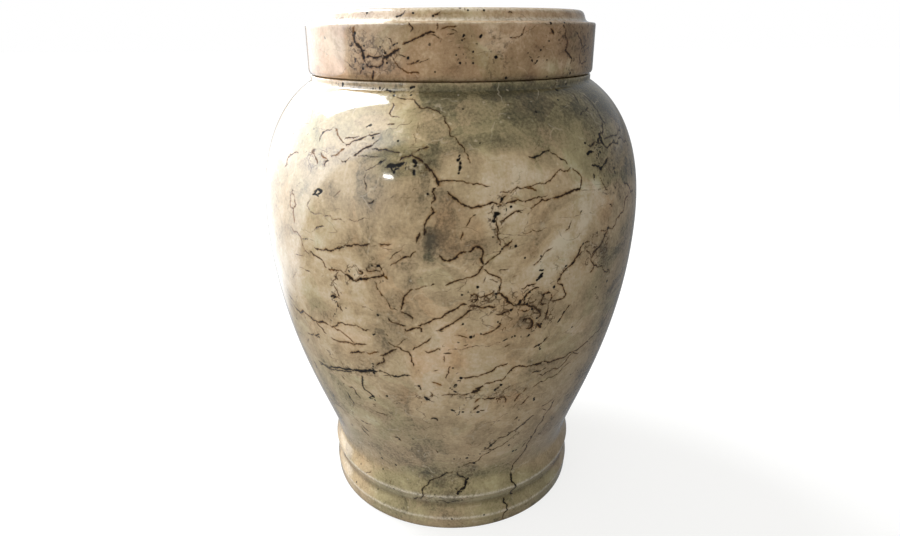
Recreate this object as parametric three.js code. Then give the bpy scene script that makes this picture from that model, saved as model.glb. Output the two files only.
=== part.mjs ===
// Cremation urn turned from veined marble: a hollow vessel on a ringed foot, and a lid that lifts off.
// Millimetres, +Z up. The origin is the middle of the underside, where the urn stands.
import * as THREE from 'three';

// Heights above the standing surface
const lidTopHeight = 264;
const rimHeight = 235;
const bellyHeight = 164.5;
const waistHeight = 31;
const upperRingHeight = 22.2;
const footGrooveHeight = 16;
const lowerRingHeight = 7.8;

// Outside radii
const bellyRadius = 99.5;
const drumRadius = 72;
const neckRadius = 71.2;
const waistRadius = 70.7;
const ringRadius = 73;
const footGrooveRadius = 70.8;
const standingRadius = 72.4;

// The swelling curve of the vessel: how far it keeps its direction as it leaves each of these places
const waistPull = 16;
const bellyPullDown = 68.5;
const bellyPullUp = 25.5;
const neckPullOut = 22.2;
const neckPullDown = 13.8;

// The hollow
const wallThickness = 15;
const mouthRadius = 55;
const mouthDepth = 17;
const floorThickness = 26;
const floorCornerRadius = 15;

// The short straight neck under the lid, and the roundings of the turned edges
const neckHeight = 2.9;
const rimEdgeRadius = 0.8;
const standingEdgeRadius = 1.4;
const ringEdgeRadius = 1.2;

// The lid: a drum with a raised disc on top and a spigot that drops into the mouth
const lidGap = 0.3;
const drumHeight = 23;
const drumLowerEdgeRadius = 2.2;
const drumUpperEdgeRadius = 1;
const discFootRadius = 67.3;
const discTopRadius = 65.7;
const discEdgeRadius = 2.4;
const ledgeRise = 0.6;
const ledgeCoveRadius = 1.6;
const spigotClearance = 1.2;
const spigotDepth = 8;
const spigotEdgeRadius = 1.2;

// How finely the round shapes are cut into facets
const facetsAround = 64;
const shoulderSteps = 9;
const taperSteps = 11;
const hollowSteps = 7;
const smallEdgeSteps = 2;
const largeEdgeSteps = 3;

function at(radius, height) {
  return new THREE.Vector2(radius, height);
}

// Points round a corner that is cut back by the same length on both of its sides.
function roundedCorner(before, corner, after, cutBack, steps = smallEdgeSteps) {
  const start = corner.clone().add(before.clone().sub(corner).setLength(cutBack));
  const end = corner.clone().add(after.clone().sub(corner).setLength(cutBack));
  return new THREE.QuadraticBezierCurve(start, corner, end).getPoints(steps);
}

// Points on the inner face of a wall whose outer face is the curve, which runs upwards.
function innerFace(curve, thickness, steps) {
  const points = [];
  for (let step = 0; step <= steps; step += 1) {
    const along = curve.getTangent(step / steps);
    const inwards = at(-along.y, along.x).multiplyScalar(thickness);
    points.push(curve.getPoint(step / steps).add(inwards));
  }
  return points;
}

// A closed solid turned about the vertical axis. Its outline runs from the axis, up the outside and back
// to the axis.
function turned(outline) {
  const solid = new THREE.LatheGeometry(outline, facetsAround);
  solid.rotateX(Math.PI / 2);
  return solid;
}

// The long taper from the waist out to the belly.
function taperCurve() {
  const waist = at(waistRadius, waistHeight);
  const belly = at(bellyRadius, bellyHeight);
  const leaving = at(waistRadius, waistHeight + waistPull);
  const arriving = at(bellyRadius, bellyHeight - bellyPullDown);
  return new THREE.CubicBezierCurve(waist, leaving, arriving, belly);
}

// The full shoulder from the belly in to the neck.
function shoulderCurve() {
  const belly = at(bellyRadius, bellyHeight);
  const neckFoot = at(neckRadius, rimHeight - neckHeight);
  const leaving = at(bellyRadius, bellyHeight + bellyPullUp);
  const arriving = at(neckRadius + neckPullOut, neckFoot.y - neckPullDown);
  return new THREE.CubicBezierCurve(belly, leaving, arriving, neckFoot);
}

// The foot: a flat underside, a lower ring, a groove and an upper ring below the waist.
function footOutline() {
  const middle = at(0, 0);
  const standingEdge = at(standingRadius, 0);
  const lowerRing = at(ringRadius, lowerRingHeight);
  const groove = at(footGrooveRadius, footGrooveHeight);
  const upperRing = at(ringRadius, upperRingHeight);
  const waist = at(waistRadius, waistHeight);
  return [
    middle,
    ...roundedCorner(middle, standingEdge, lowerRing, standingEdgeRadius),
    ...roundedCorner(standingEdge, lowerRing, groove, ringEdgeRadius),
    ...roundedCorner(lowerRing, groove, upperRing, ringEdgeRadius),
    ...roundedCorner(groove, upperRing, waist, ringEdgeRadius),
  ];
}

function swellOutline() {
  const taper = taperCurve().getPoints(taperSteps);
  const shoulder = shoulderCurve().getPoints(shoulderSteps);
  return [...taper, ...shoulder.slice(1)];
}

// The rim that carries the lid, and the mouth through it.
function rimOutline() {
  const neckFoot = at(neckRadius, rimHeight - neckHeight);
  const rimEdge = at(neckRadius, rimHeight);
  const mouthEdge = at(mouthRadius, rimHeight);
  const mouthFoot = at(mouthRadius, rimHeight - mouthDepth);
  return [
    ...roundedCorner(neckFoot, rimEdge, mouthEdge, rimEdgeRadius),
    ...roundedCorner(rimEdge, mouthEdge, mouthFoot, rimEdgeRadius),
    mouthFoot,
  ];
}

// The hollow below the mouth: it follows the outside at the wall's thickness, down to a flat floor.
function hollowOutline() {
  const underMouth = rimHeight - mouthDepth - wallThickness / 4;
  const shoulder = innerFace(shoulderCurve(), wallThickness, hollowSteps);
  const taper = innerFace(taperCurve(), wallThickness, hollowSteps);
  const wall = [...taper, ...shoulder.slice(1)].filter((point) => point.y < underMouth);
  const wallFoot = wall.shift();
  const floorCorner = at(wallFoot.x, floorThickness);
  const floorMiddle = at(0, floorThickness);
  const lowestWall = at(wallFoot.x, floorThickness + floorCornerRadius);
  return [
    ...wall.filter((point) => point.y > lowestWall.y).reverse(),
    ...roundedCorner(lowestWall, floorCorner, floorMiddle, floorCornerRadius, largeEdgeSteps),
    floorMiddle,
  ];
}

// The lid from its spigot's underside, out under the drum, up its side and over the raised disc.
function lidOutline() {
  const seat = rimHeight + lidGap;
  const ledge = seat + drumHeight;
  const spigotRadius = mouthRadius - spigotClearance;
  const spigotMiddle = at(0, seat - spigotDepth);
  const spigotEdge = at(spigotRadius, seat - spigotDepth);
  const spigotRoot = at(spigotRadius, seat);
  const drumLowerEdge = at(drumRadius, seat);
  const drumUpperEdge = at(drumRadius, ledge);
  const discFoot = at(discFootRadius, ledge + ledgeRise);
  const discEdge = at(discTopRadius, lidTopHeight);
  const discMiddle = at(0, lidTopHeight);
  return [
    spigotMiddle,
    ...roundedCorner(spigotMiddle, spigotEdge, spigotRoot, spigotEdgeRadius),
    spigotRoot,
    ...roundedCorner(spigotRoot, drumLowerEdge, drumUpperEdge, drumLowerEdgeRadius, largeEdgeSteps),
    ...roundedCorner(drumLowerEdge, drumUpperEdge, discFoot, drumUpperEdgeRadius),
    ...roundedCorner(drumUpperEdge, discFoot, discEdge, ledgeCoveRadius),
    ...roundedCorner(discFoot, discEdge, discMiddle, discEdgeRadius, largeEdgeSteps),
    discMiddle,
  ];
}

function urnBody() {
  const greyBeigeMarble = new THREE.MeshStandardMaterial({ color: 0xa8987f, roughness: 0.16, metalness: 0 });
  const outline = [...footOutline(), ...swellOutline(), ...rimOutline(), ...hollowOutline()];
  const body = new THREE.Mesh(turned(outline), greyBeigeMarble);
  body.name = 'urn_body';
  return body;
}

function lid() {
  const pinkBeigeMarble = new THREE.MeshStandardMaterial({ color: 0xb39a80, roughness: 0.16, metalness: 0 });
  const cover = new THREE.Mesh(turned(lidOutline()), pinkBeigeMarble);
  cover.name = 'lid';
  return cover;
}

const group = new THREE.Group();
group.add(urnBody(), lid());

export default group;
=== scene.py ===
# Cremation urn in polished, veined marble: a turned vessel on a ringed foot and its lift-off lid.
import math
import random
import bpy
import numpy as np
from mathutils import Matrix, Quaternion, Vector
from mathutils.bvhtree import BVHTree
from mathutils.kdtree import KDTree


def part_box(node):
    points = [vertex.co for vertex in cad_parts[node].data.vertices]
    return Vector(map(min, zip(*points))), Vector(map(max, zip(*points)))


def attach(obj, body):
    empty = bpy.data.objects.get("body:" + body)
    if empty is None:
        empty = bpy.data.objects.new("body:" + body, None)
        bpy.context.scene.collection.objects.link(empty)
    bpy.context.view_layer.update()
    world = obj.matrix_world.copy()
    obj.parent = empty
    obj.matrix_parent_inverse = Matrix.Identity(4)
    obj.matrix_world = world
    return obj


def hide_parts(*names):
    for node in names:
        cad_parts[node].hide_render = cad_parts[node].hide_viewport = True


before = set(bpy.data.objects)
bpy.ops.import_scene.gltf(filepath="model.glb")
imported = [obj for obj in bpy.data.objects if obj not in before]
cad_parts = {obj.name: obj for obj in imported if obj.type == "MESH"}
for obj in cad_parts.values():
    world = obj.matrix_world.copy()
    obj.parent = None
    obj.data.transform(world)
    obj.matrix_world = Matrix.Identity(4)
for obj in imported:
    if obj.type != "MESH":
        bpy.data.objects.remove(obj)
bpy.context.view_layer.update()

MM = 0.001

# The camera, as the photograph's outline and ellipses give it
IMAGE_WIDTH = 900
IMAGE_HEIGHT = 536
LENS = 24.5
SENSOR_WIDTH = 36.0
FOCAL_PIXELS = LENS / SENSOR_WIDTH * IMAGE_WIDTH
CAMERA_DISTANCE = 334.0 * MM
CAMERA_HEIGHT = 255.3 * MM
CAMERA_SIDESTEP = -0.7 * MM
CAMERA_PITCH = math.radians(21.23)
CAMERA_ROLL = math.radians(-0.26)

# Sizes of the urn that the frame gives
body_low, body_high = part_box("urn_body")
lid_low, lid_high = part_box("lid")
RIM_HEIGHT = body_high[2]
BELLY_RADIUS = body_high[0]
DRUM_RADIUS = lid_high[0]
LID_TOP_HEIGHT = lid_high[2]
SPIGOT_FOOT_HEIGHT = lid_low[2]

# Heights and radii of the vessel
BELLY_HEIGHT = 164.5 * MM
WAIST_HEIGHT = 31.0 * MM
UPPER_RING_HEIGHT = 22.2 * MM
GROOVE_HEIGHT = 16.0 * MM
LOWER_RING_HEIGHT = 7.8 * MM
NECK_RADIUS = 71.2 * MM
NECK_HEIGHT = 2.9 * MM
WAIST_RADIUS = 70.7 * MM
RING_RADIUS = 73.0 * MM
GROOVE_RADIUS = 70.8 * MM
STANDING_RADIUS = 72.4 * MM
STANDING_EDGE = 1.4 * MM
RING_EDGE = 1.2 * MM
RIM_EDGE = 0.8 * MM

# How far the swelling curve keeps its direction as it leaves each of these places
WAIST_PULL = 16.0 * MM
BELLY_PULL_DOWN = 68.5 * MM
BELLY_PULL_UP = 25.5 * MM
NECK_PULL_OUT = 22.2 * MM
NECK_PULL_DOWN = 13.8 * MM

# The hollow
WALL = 15.0 * MM
MOUTH_RADIUS = 55.0 * MM
MOUTH_DEPTH = 17.0 * MM
FLOOR_HEIGHT = 26.0 * MM
FLOOR_CORNER = 15.0 * MM

# The lid
SEAT_HEIGHT = RIM_HEIGHT + 0.3 * MM
DRUM_HEIGHT = 23.0 * MM
DRUM_LOWER_EDGE = 2.2 * MM
DRUM_UPPER_EDGE = 1.0 * MM
DISC_FOOT_RADIUS = 67.3 * MM
DISC_TOP_RADIUS = 65.7 * MM
DISC_EDGE = 2.4 * MM
LEDGE_RISE = 0.6 * MM
LEDGE_COVE = 1.6 * MM
SPIGOT_RADIUS = 53.8 * MM
SPIGOT_EDGE = 1.2 * MM

# The room's light, as brightness to the left, right and overhead, and where the window in its wall is
ROOM_LEFT = 3.2
ROOM_RIGHT = 0.5
ROOM_CEILING = 0.14
WALL_DISTANCE = 1.0
WINDOW_FROM = 0.27
WINDOW_TO = 1.05
WINDOW_SILL = 0.95
WINDOW_HEAD = 2.5
WINDOW_RADIANCE = 26.0
WINDOW_COLOUR = (0.95, 0.98, 1.0)
ROOM_COLOUR = (1.0, 0.98, 0.95)

# What the polish mirrors: a bright wall beyond a slanting edge on the left and a haze before it, a dim
# room, a grey floor, and the pale background low behind the urn
MIRRORED_WALL = 4.2
MIRRORED_ROOM = 0.22
MIRRORED_FLOOR = 0.2
MIRRORED_BACK = 2.6
MIRRORED_HAZE = 3.1
MIRRORED_COLOUR = (0.92, 0.98, 1.05)
WALL_EDGE = (-0.08, 1.0, 0.78)

# The floor: how much it scatters on to the urn, and how it looks, near the urn and far off
FLOOR_BOUNCE = 0.13
FLOOR_LOOK = 0.22
FLOOR_GLOW_NEAR = 0.8
FLOOR_GLOW_FAR = 1.0
FLOOR_NEAR = 0.3
FLOOR_FAR = 2.6
FLOOR_HALF_SIZE = 8.0
FLOOR_ROUGHNESS = 0.9
FLOOR_GLOSS = 0.1
FLOOR_COLOUR = (1.0, 1.0, 0.99)
BACKDROP_COLOUR = (1.0, 1.0, 1.0)

# A small lamp in front on the left, whose glint shows on the shoulder
LAMP_TURN = -36.6
LAMP_RISE = 20.2
LAMP_DISTANCE = 1.5
LAMP_AIM_HEIGHT = 0.19
LAMP_WIDTH = 0.13
LAMP_HEIGHT = 0.05
LAMP_RADIANCE = 45.0
LAMP_COLOUR = (1.0, 1.0, 1.0)

# How closely the turned meshes are sampled
COLUMNS = 400
OUTER_STEP = 1.35 * MM
INNER_STEP = 12.0 * MM
EDGE_POINTS = 5
BEND_POINTS = 400
SAME_PLACE = 1e-6

# Colours of the stone, from its darkest clasts to its palest, and what greens or reddens them
BODY_PALETTE = [
    (0.0, (0.085, 0.068, 0.042)),
    (0.14, (0.17, 0.13, 0.075)),
    (0.34, (0.37, 0.277, 0.158)),
    (0.56, (0.52, 0.395, 0.235)),
    (1.0, (0.7, 0.6, 0.44)),
]
BODY_OLIVE = (0.83, 0.93, 0.86)
BODY_BLUSH = (1.1, 0.95, 0.86)
LID_PALETTE = [
    (0.0, (0.08, 0.05, 0.028)),
    (0.14, (0.16, 0.1, 0.052)),
    (0.34, (0.3, 0.195, 0.104)),
    (0.56, (0.41, 0.275, 0.152)),
    (1.0, (0.68, 0.52, 0.35)),
]
LID_OLIVE = (0.84, 0.95, 0.86)
LID_BLUSH = (1.08, 0.96, 0.92)
# A pale colour for painted highlight and wear on the turned edges, and a dark one for painted shade in the
# foot's groove and at its standing edge
EDGE_HIGHLIGHT_AND_WEAR = (0.74, 0.67, 0.54)
EDGE_SHADE_COLOUR = (0.3, 0.26, 0.2)
SPOT_BLACK = (0.008, 0.006, 0.005)
LOOP_BROWN = (0.075, 0.038, 0.012)
SPECK_BROWN = (0.032, 0.02, 0.011)
DUST_BROWN = (0.085, 0.058, 0.032)
VEIN_COLOURS = [(0.0, (0.008, 0.007, 0.006)), (0.5, (0.024, 0.013, 0.006)), (1.0, (0.14, 0.06, 0.008))]
RIM_COLOURS = [(0.0, (0.42, 0.37, 0.31)), (0.5, (0.46, 0.28, 0.12)), (1.0, (0.62, 0.34, 0.1))]
STAIN_COLOURS = [(0.0, (0.66, 0.64, 0.62)), (0.5, (0.74, 0.6, 0.42)), (1.0, (0.84, 0.6, 0.32))]

# How the veins are laid: layers of them, how far a vein claims the stone beside it and keeps its width
# there, how its route is broken up and kinked, and how it thins out and swells
VEIN_LAYERS = 18
FAR = 10.0
VALID = 4.6 * MM
SUPPORT = 3.0 * MM
ROUTE_STEP = 2.4 * MM
KINK = 0.19
RUN_OUT = 1.2 * MM
VEIN_DEPTH = 0.04 * MM
KINK_LIMIT = 1.5
VEIN_SWELL = (0.55, 1.45)
MOST_HALVINGS = 5
SPOT_REACH = 0.8 * VALID

# Veins on the sides that the photograph doesn't show: their steps, their lengths in millimetres, how many
# fork, how many there are of them and of short strokes, and how they lie on the stone
WANDER_STEP = 6.0 * MM
STROKE_STEP = 2.2 * MM
WANDER_LENGTHS = (18, 75)
STROKE_LENGTHS = (3, 14)
FORKED_SHARE = 0.5
FORK_TURNS = (0.4, 1.2)
STROKES_LEFT_OUT = 0.85
BODY_VEIN_COUNT = 110
BODY_STROKE_COUNT = 420
LID_VEIN_COUNT = 50
LID_STROKE_COUNT = 130
LOWEST_VEIN = 2.0 * MM
HIGHEST_BODY_VEIN = RIM_HEIGHT - 6.0 * MM
HIGHEST_LID_VEIN = LID_TOP_HEIGHT + 6.0 * MM
BODY_SEED = 11
LID_SEED = 23
WANDER_TURN = 0.28
GRAIN_LIE = 0.3
GRAIN_SPREAD = 0.45
HIDDEN_FROM = math.radians(74)
UNSEEN_PATCHES = 60
PATCH_SIZES = (8, 30)
PATCH_LIGHTER = 0.8
PATCH_WARMER = 0.6
CROWDED_SHARE = 0.35
ABOVE_THE_TOP = 10.0 * MM

# How softly a patch ends, in pixels, and how squarely stone must face the camera to be read in full
TONE_FEATHER = 14.0
CROWD_FEATHER = 12.0
SEEN_FADE = 0.25

# Tints of a vein, from slate through brown to ochre
SLATE = 0.0
BROWN = 0.5
OCHRE = 1.0

# Half the widths of veins, in millimetres
THREAD = 0.1
HAIR = 0.16
FINE = 0.2
PLAIN = 0.28
BOLD = 0.41
BROAD = 0.8

# Sizes of what the marble is made of, in millimetres
CLOUDS = 60.0
TINT_DRIFT = 30.0
MOTTLE = 11.0
GRAIN = 1.3
LARGE_CLASTS = 34.0
SMALL_CLASTS = 13.0
FLECKS = 3.4
PALE_THREADS = 19.0
HAIRLINES = 44.0
LOOPS = 5.2
RINGS = 4.6
SPECKS = 4.2
DUST = 2.2
SPOT_EDGES = 1.2
WIDE_WOBBLE = 5.0
FINE_WOBBLE = 0.9
BEADS = 1.9

# How much each of these lightens or darkens the stone, and warms or cools it
CLOUD_LIGHT = 0.8
MOTTLE_LIGHT = 1.15
LARGE_CLAST_LIGHT = 0.14
SMALL_CLAST_LIGHT = 0.12
GRAIN_LIGHT = 0.6
READ_LIGHT = 0.38
CLAST_WARMTH = 0.4
DRIFT_WARMTH = 1.6

# The polish: its roughness, and how much rougher and weaker it is in a vein
POLISH = 0.06
CLOUDED_POLISH = 0.05
VEIN_ROUGHER = 0.22
STONE_GLOSS = 0.5
VEIN_GLOSS = 0.1

# Veins read off the photograph: the half width, the tint, and the pixels that each runs through
LID_VEINS = {
    "fault_start": (BOLD, OCHRE, [(354, 26), (353, 31), (355, 35)]),
    "fault_upper": (BROAD, BROWN, [(355, 33), (354, 40), (358, 46), (362, 49), (363, 54), (364, 59),
        (366, 63)]),
    "fault_hook": (BOLD, BROWN, [(366, 63), (368, 66), (372, 67), (378, 68), (381, 66), (384, 62),
        (382, 58)]),
    "fault_foot": (BOLD, BROWN, [(373, 70), (374, 73), (373, 77), (374, 82)]),
    "fault_crumbs": (BOLD, BROWN, [(362, 69), (360, 73)]),
    "fault_side": (PLAIN, BROWN, [(354, 57), (356, 60), (354, 63)]),
    "fault_spur": (FINE, BROWN, [(352, 41), (349, 46), (350, 49)]),
    "fault_twin": (PLAIN, BROWN, [(350, 27), (350, 30)]),
    "arm_start": (PLAIN, BROWN, [(366, 58), (372, 57), (376, 58), (380, 56), (383, 56)]),
    "arm_thick": (BROAD, BROWN, [(383, 56), (386, 58), (391, 54), (395, 52), (400, 49)]),
    "arm_run": (PLAIN, BROWN, [(401, 45), (404, 43), (411, 41), (414, 39), (418, 38), (427, 33), (432, 32),
        (436, 33)]),
    "arm_branch": (PLAIN, BROWN, [(409, 22), (413, 27), (410, 32)]),
    "arm_drop": (HAIR, BROWN, [(436, 22), (436, 32)]),
    "arm_echo": (HAIR, OCHRE, [(440, 30), (444, 28), (452, 27), (459, 25)]),
    "arm_far": (THREAD, BROWN, [(444, 36), (451, 34), (458, 31)]),
    "arm_under": (HAIR, BROWN, [(398, 54), (403, 56), (408, 58)]),
    "arm_over": (FINE, BROWN, [(388, 38), (392, 44)]),
    "pale_curve": (HAIR, OCHRE, [(392, 56), (395, 62), (400, 68), (405, 71), (411, 73), (421, 73)]),
    "disc_curve": (PLAIN, SLATE, [(395, 16), (399, 16), (403, 14), (406, 10), (410, 7), (421, 6)]),
    "disc_dash": (FINE, BROWN, [(433, 15), (441, 11)]),
    "disc_mark": (PLAIN, SLATE, [(507, 12), (513, 13)]),
    "right_dash": (BOLD, BROWN, [(551, 28), (552, 31), (554, 34)]),
    "middle_dash": (FINE, BROWN, [(462, 40), (465, 38)]),
    "edge_cluster": (FINE, BROWN, [(563, 24), (566, 30), (563, 36), (568, 42), (565, 50), (572, 58),
        (570, 66)]),
    "edge_cluster_side": (HAIR, BROWN, [(576, 30), (580, 38), (584, 46), (580, 54), (586, 62)]),
}
BODY_VEINS = {
    "left_arch": (FINE, BROWN, [(320, 142), (321, 136), (323, 132), (328, 130), (333, 128), (334, 126)]),
    "left_arch_side": (FINE, OCHRE, [(334, 127), (338, 133), (340, 138), (342, 142), (345, 144)]),
    "left_arch_run": (BOLD, BROWN, [(345, 144), (348, 146), (351, 143), (353, 141), (358, 140), (362, 138),
        (367, 136)]),
    "left_arch_end": (PLAIN, BROWN, [(367, 136), (373, 136), (376, 134), (380, 133)]),
    "left_arch_twin": (FINE, BROWN, [(344, 140), (349, 138), (356, 137), (361, 136)]),
    "arch_foot": (PLAIN, OCHRE, [(330, 156), (334, 156), (337, 155), (339, 152), (342, 150), (345, 148)]),
    "arch_link": (THREAD, BROWN, [(337, 157), (340, 160), (342, 162), (348, 159), (354, 156)]),
    "long_slant": (BOLD, BROWN, [(353, 156), (357, 154), (360, 151), (364, 148), (368, 147), (373, 145)]),
    "slant_end": (FINE, BROWN, [(373, 145), (376, 142), (380, 139)]),
    "slant_echo": (HAIR, SLATE, [(357, 156), (362, 156), (367, 156), (377, 157), (382, 157)]),
    "slant_over": (FINE, SLATE, [(369, 149), (376, 148), (382, 150), (386, 149), (392, 151), (400, 152)]),
    "grey_fan": (HAIR, SLATE, [(365, 171), (371, 167), (376, 164), (383, 161), (388, 157)]),
    "grey_fan_mark": (BOLD, SLATE, [(378, 163), (383, 161)]),
    "grey_stalk": (HAIR, SLATE, [(366, 173), (365, 182), (365, 191)]),
    "grey_hook": (PLAIN, SLATE, [(374, 198), (373, 203), (369, 204), (367, 202)]),
    "dot_line": (FINE, BROWN, [(386, 124), (391, 124), (395, 124)]),
    "knot_left": (FINE, OCHRE, [(317, 149), (313, 150), (311, 152), (315, 157), (317, 160), (318, 165)]),
    "knot_right": (BOLD, OCHRE, [(321, 152), (322, 156), (324, 158), (328, 160)]),
    "knot_foot": (BOLD, BROWN, [(329, 160), (325, 162), (324, 164), (325, 167)]),
    "far_left_hook": (FINE, OCHRE, [(299, 153), (294, 153), (288, 157), (287, 161), (287, 165),
        (284, 168)]),
    "hook_head": (BOLD, BROWN, [(292, 154), (289, 155)]),
    "far_left_ring": (HAIR, OCHRE, [(293, 188), (290, 196), (290, 203), (293, 209), (296, 205), (295, 198),
        (292, 192)]),
    "far_left_knot": (PLAIN, OCHRE, [(294, 209), (293, 213), (294, 218), (295, 224)]),
    "far_left_fall": (HAIR, OCHRE, [(291, 227), (294, 232), (299, 235), (302, 241), (304, 247),
        (310, 255)]),
    "left_curve": (THREAD, BROWN, [(311, 197), (308, 201), (307, 205), (310, 211), (321, 214), (337, 219),
        (352, 220), (372, 219)]),
    "left_dash": (HAIR, OCHRE, [(332, 197), (336, 194), (341, 189)]),
    "centre_start": (BROAD, SLATE, [(386, 167), (391, 166), (396, 166), (401, 164), (405, 162)]),
    "centre_crest": (PLAIN, BROWN, [(399, 160), (404, 157), (412, 155), (418, 157), (424, 163)]),
    "centre_fall": (BOLD, BROWN, [(424, 163), (429, 168), (432, 171), (435, 176), (438, 181), (440, 184),
        (437, 187)]),
    "centre_twist": (FINE, BROWN, [(437, 187), (433, 189), (432, 192), (435, 195), (433, 201), (431, 205)]),
    "centre_tail": (PLAIN, BROWN, [(431, 205), (433, 209), (435, 212), (431, 214), (428, 220), (425, 224),
        (424, 228)]),
    "centre_hook": (PLAIN, BROWN, [(424, 228), (426, 231), (424, 236)]),
    "centre_end": (BOLD, BROWN, [(420, 233), (418, 237), (416, 243)]),
    "centre_spur": (HAIR, BROWN, [(410, 155), (417, 152), (423, 150)]),
    "spur_mark": (BROAD, BROWN, [(423, 149), (428, 147)]),
    "brow_line": (FINE, BROWN, [(396, 97), (403, 99), (416, 103), (428, 107), (438, 111), (441, 115)]),
    "brow_left": (HAIR, BROWN, [(392, 102), (391, 110), (393, 117), (400, 119)]),
    "brow_right": (HAIR, BROWN, [(441, 115), (445, 121), (450, 129), (457, 140), (461, 145), (465, 153),
        (471, 164)]),
    "waist_upper": (FINE, BROWN, [(438, 181), (446, 181), (456, 181), (462, 181), (467, 183), (482, 184),
        (491, 187)]),
    "waist_lower": (BOLD, BROWN, [(447, 191), (450, 195), (454, 198), (458, 201), (461, 204), (465, 206),
        (468, 206)]),
    "waist_run": (PLAIN, BROWN, [(468, 206), (474, 208), (481, 206), (488, 205), (496, 203), (504, 204)]),
    "waist_reach": (FINE, BROWN, [(504, 204), (514, 202), (521, 201), (531, 199), (537, 197), (549, 194)]),
    "lens_top": (HAIR, BROWN, [(499, 194), (506, 192), (521, 189), (530, 187), (541, 183), (551, 180),
        (554, 176), (557, 172), (572, 167)]),
    "lens_point": (FINE, BROWN, [(572, 167), (576, 171), (579, 174), (582, 179), (581, 184), (580, 187)]),
    "lens_bottom": (BOLD, BROWN, [(581, 187), (576, 190), (571, 192), (565, 195), (558, 197), (552, 198)]),
    "lens_low": (PLAIN, BROWN, [(552, 198), (546, 201), (539, 203), (534, 206), (529, 209)]),
    "lens_tail": (FINE, BROWN, [(500, 222), (505, 219), (508, 216), (512, 214), (523, 213)]),
    "lens_fringe": (THREAD, BROWN, [(529, 209), (521, 211), (514, 214)]),
    "shade_ridge": (BOLD, SLATE, [(528, 156), (531, 158), (537, 156), (542, 152), (546, 151), (550, 150)]),
    "shade_slope": (FINE, SLATE, [(550, 150), (552, 153), (561, 159), (568, 165)]),
    "right_cluster": (FINE, SLATE, [(587, 145), (598, 143), (603, 144), (609, 145), (614, 143),
        (618, 140)]),
    "cluster_rise": (FINE, SLATE, [(598, 143), (600, 138), (599, 133), (603, 128), (602, 121)]),
    "cluster_arm": (FINE, SLATE, [(604, 139), (611, 135), (618, 130), (620, 126)]),
    "cluster_far": (FINE, SLATE, [(618, 140), (621, 137), (624, 142), (629, 146)]),
    "grey_leaf": (BROAD, SLATE, [(587, 155), (590, 152), (593, 151)]),
    "right_link": (BOLD, SLATE, [(592, 166), (596, 165), (599, 167), (601, 169), (603, 165), (606, 161),
        (608, 157)]),
    "right_dash": (BOLD, SLATE, [(594, 174), (594, 179)]),
    "right_fall": (FINE, SLATE, [(599, 176), (602, 182), (605, 187), (608, 190)]),
    "right_tick": (PLAIN, SLATE, [(609, 204), (612, 207)]),
    "right_nick": (PLAIN, SLATE, [(580, 213), (583, 210)]),
    "right_rim": (PLAIN, SLATE, [(630, 160), (631, 168), (632, 177)]),
    "edge_mark": (FINE, SLATE, [(623, 182), (629, 186), (633, 190)]),
    "edge_fall": (FINE, BROWN, [(628, 190), (625, 199), (624, 207), (620, 214), (616, 223), (611, 228),
        (608, 228)]),
    "edge_run": (FINE, BROWN, [(608, 228), (605, 231), (600, 231)]),
    "edge_loop": (PLAIN, BROWN, [(608, 228), (604, 237), (601, 244), (598, 248), (594, 252), (591, 256)]),
    "band_edge": (HAIR, BROWN, [(573, 218), (570, 224), (565, 231)]),
    "band_thread": (THREAD, OCHRE, [(550, 227), (532, 230), (518, 234)]),
    "upper_dash": (HAIR, SLATE, [(572, 92), (575, 97), (578, 102)]),
    "upper_thread": (FINE, SLATE, [(583, 94), (588, 99), (595, 108), (602, 120), (606, 125)]),
    "upper_curve": (HAIR, SLATE, [(588, 106), (583, 111), (580, 116)]),
    "drop_top": (PLAIN, BROWN, [(508, 194), (504, 197), (502, 200), (499, 204)]),
    "dotted_drop": (FINE, BROWN, [(497, 216), (496, 224), (498, 233), (500, 241), (502, 247)]),
    "drop_foot": (BOLD, BROWN, [(502, 249), (508, 245), (510, 242), (513, 240)]),
    "drop_slant": (FINE, BROWN, [(502, 249), (496, 256), (490, 259), (484, 265)]),
    "ochre_drop": (FINE, BROWN, [(478, 213), (473, 217), (470, 219), (466, 227)]),
    "ochre_foot": (PLAIN, BROWN, [(463, 231), (461, 237), (461, 240)]),
    "dark_start": (PLAIN, BROWN, [(314, 248), (319, 249), (325, 250)]),
    "dark_stroke": (BOLD, BROWN, [(323, 250), (329, 251), (334, 250), (339, 249), (343, 247)]),
    "dark_end": (PLAIN, BROWN, [(343, 247), (352, 246), (359, 245), (364, 245), (371, 243)]),
    "stroke_end": (FINE, BROWN, [(378, 244), (381, 245), (387, 245), (392, 244)]),
    "stroke_low": (FINE, BROWN, [(389, 267), (394, 263), (400, 260), (404, 257), (413, 253), (417, 250)]),
    "stroke_mid": (THREAD, BROWN, [(388, 260), (393, 256), (401, 251), (407, 247)]),
    "left_chain": (PLAIN, BROWN, [(309, 250), (313, 255), (318, 257), (321, 259), (324, 263), (327, 268)]),
    "left_chain_mid": (FINE, OCHRE, [(327, 268), (335, 269), (336, 272), (339, 270), (341, 271),
        (345, 274)]),
    "left_chain_dark": (BROAD, BROWN, [(345, 274), (348, 275), (351, 278), (354, 281)]),
    "left_chain_run": (BOLD, BROWN, [(354, 280), (359, 279), (363, 279), (365, 280), (370, 278)]),
    "left_chain_end": (PLAIN, BROWN, [(370, 278), (375, 277), (380, 277), (383, 276), (384, 272)]),
    "chain_tip": (FINE, OCHRE, [(383, 276), (386, 277), (388, 279)]),
    "chain_loop": (PLAIN, BROWN, [(366, 268), (368, 271), (371, 272), (377, 270)]),
    "chain_curl": (PLAIN, BROWN, [(379, 266), (381, 268), (382, 271)]),
    "chain_crumbs": (PLAIN, BROWN, [(358, 270), (361, 272), (359, 274)]),
    "chain_drop": (FINE, BROWN, [(339, 271), (336, 276), (333, 280), (333, 284), (335, 288), (338, 293),
        (340, 299)]),
    "chain_blotch": (BROAD, BROWN, [(331, 297), (334, 296), (337, 297)]),
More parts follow.
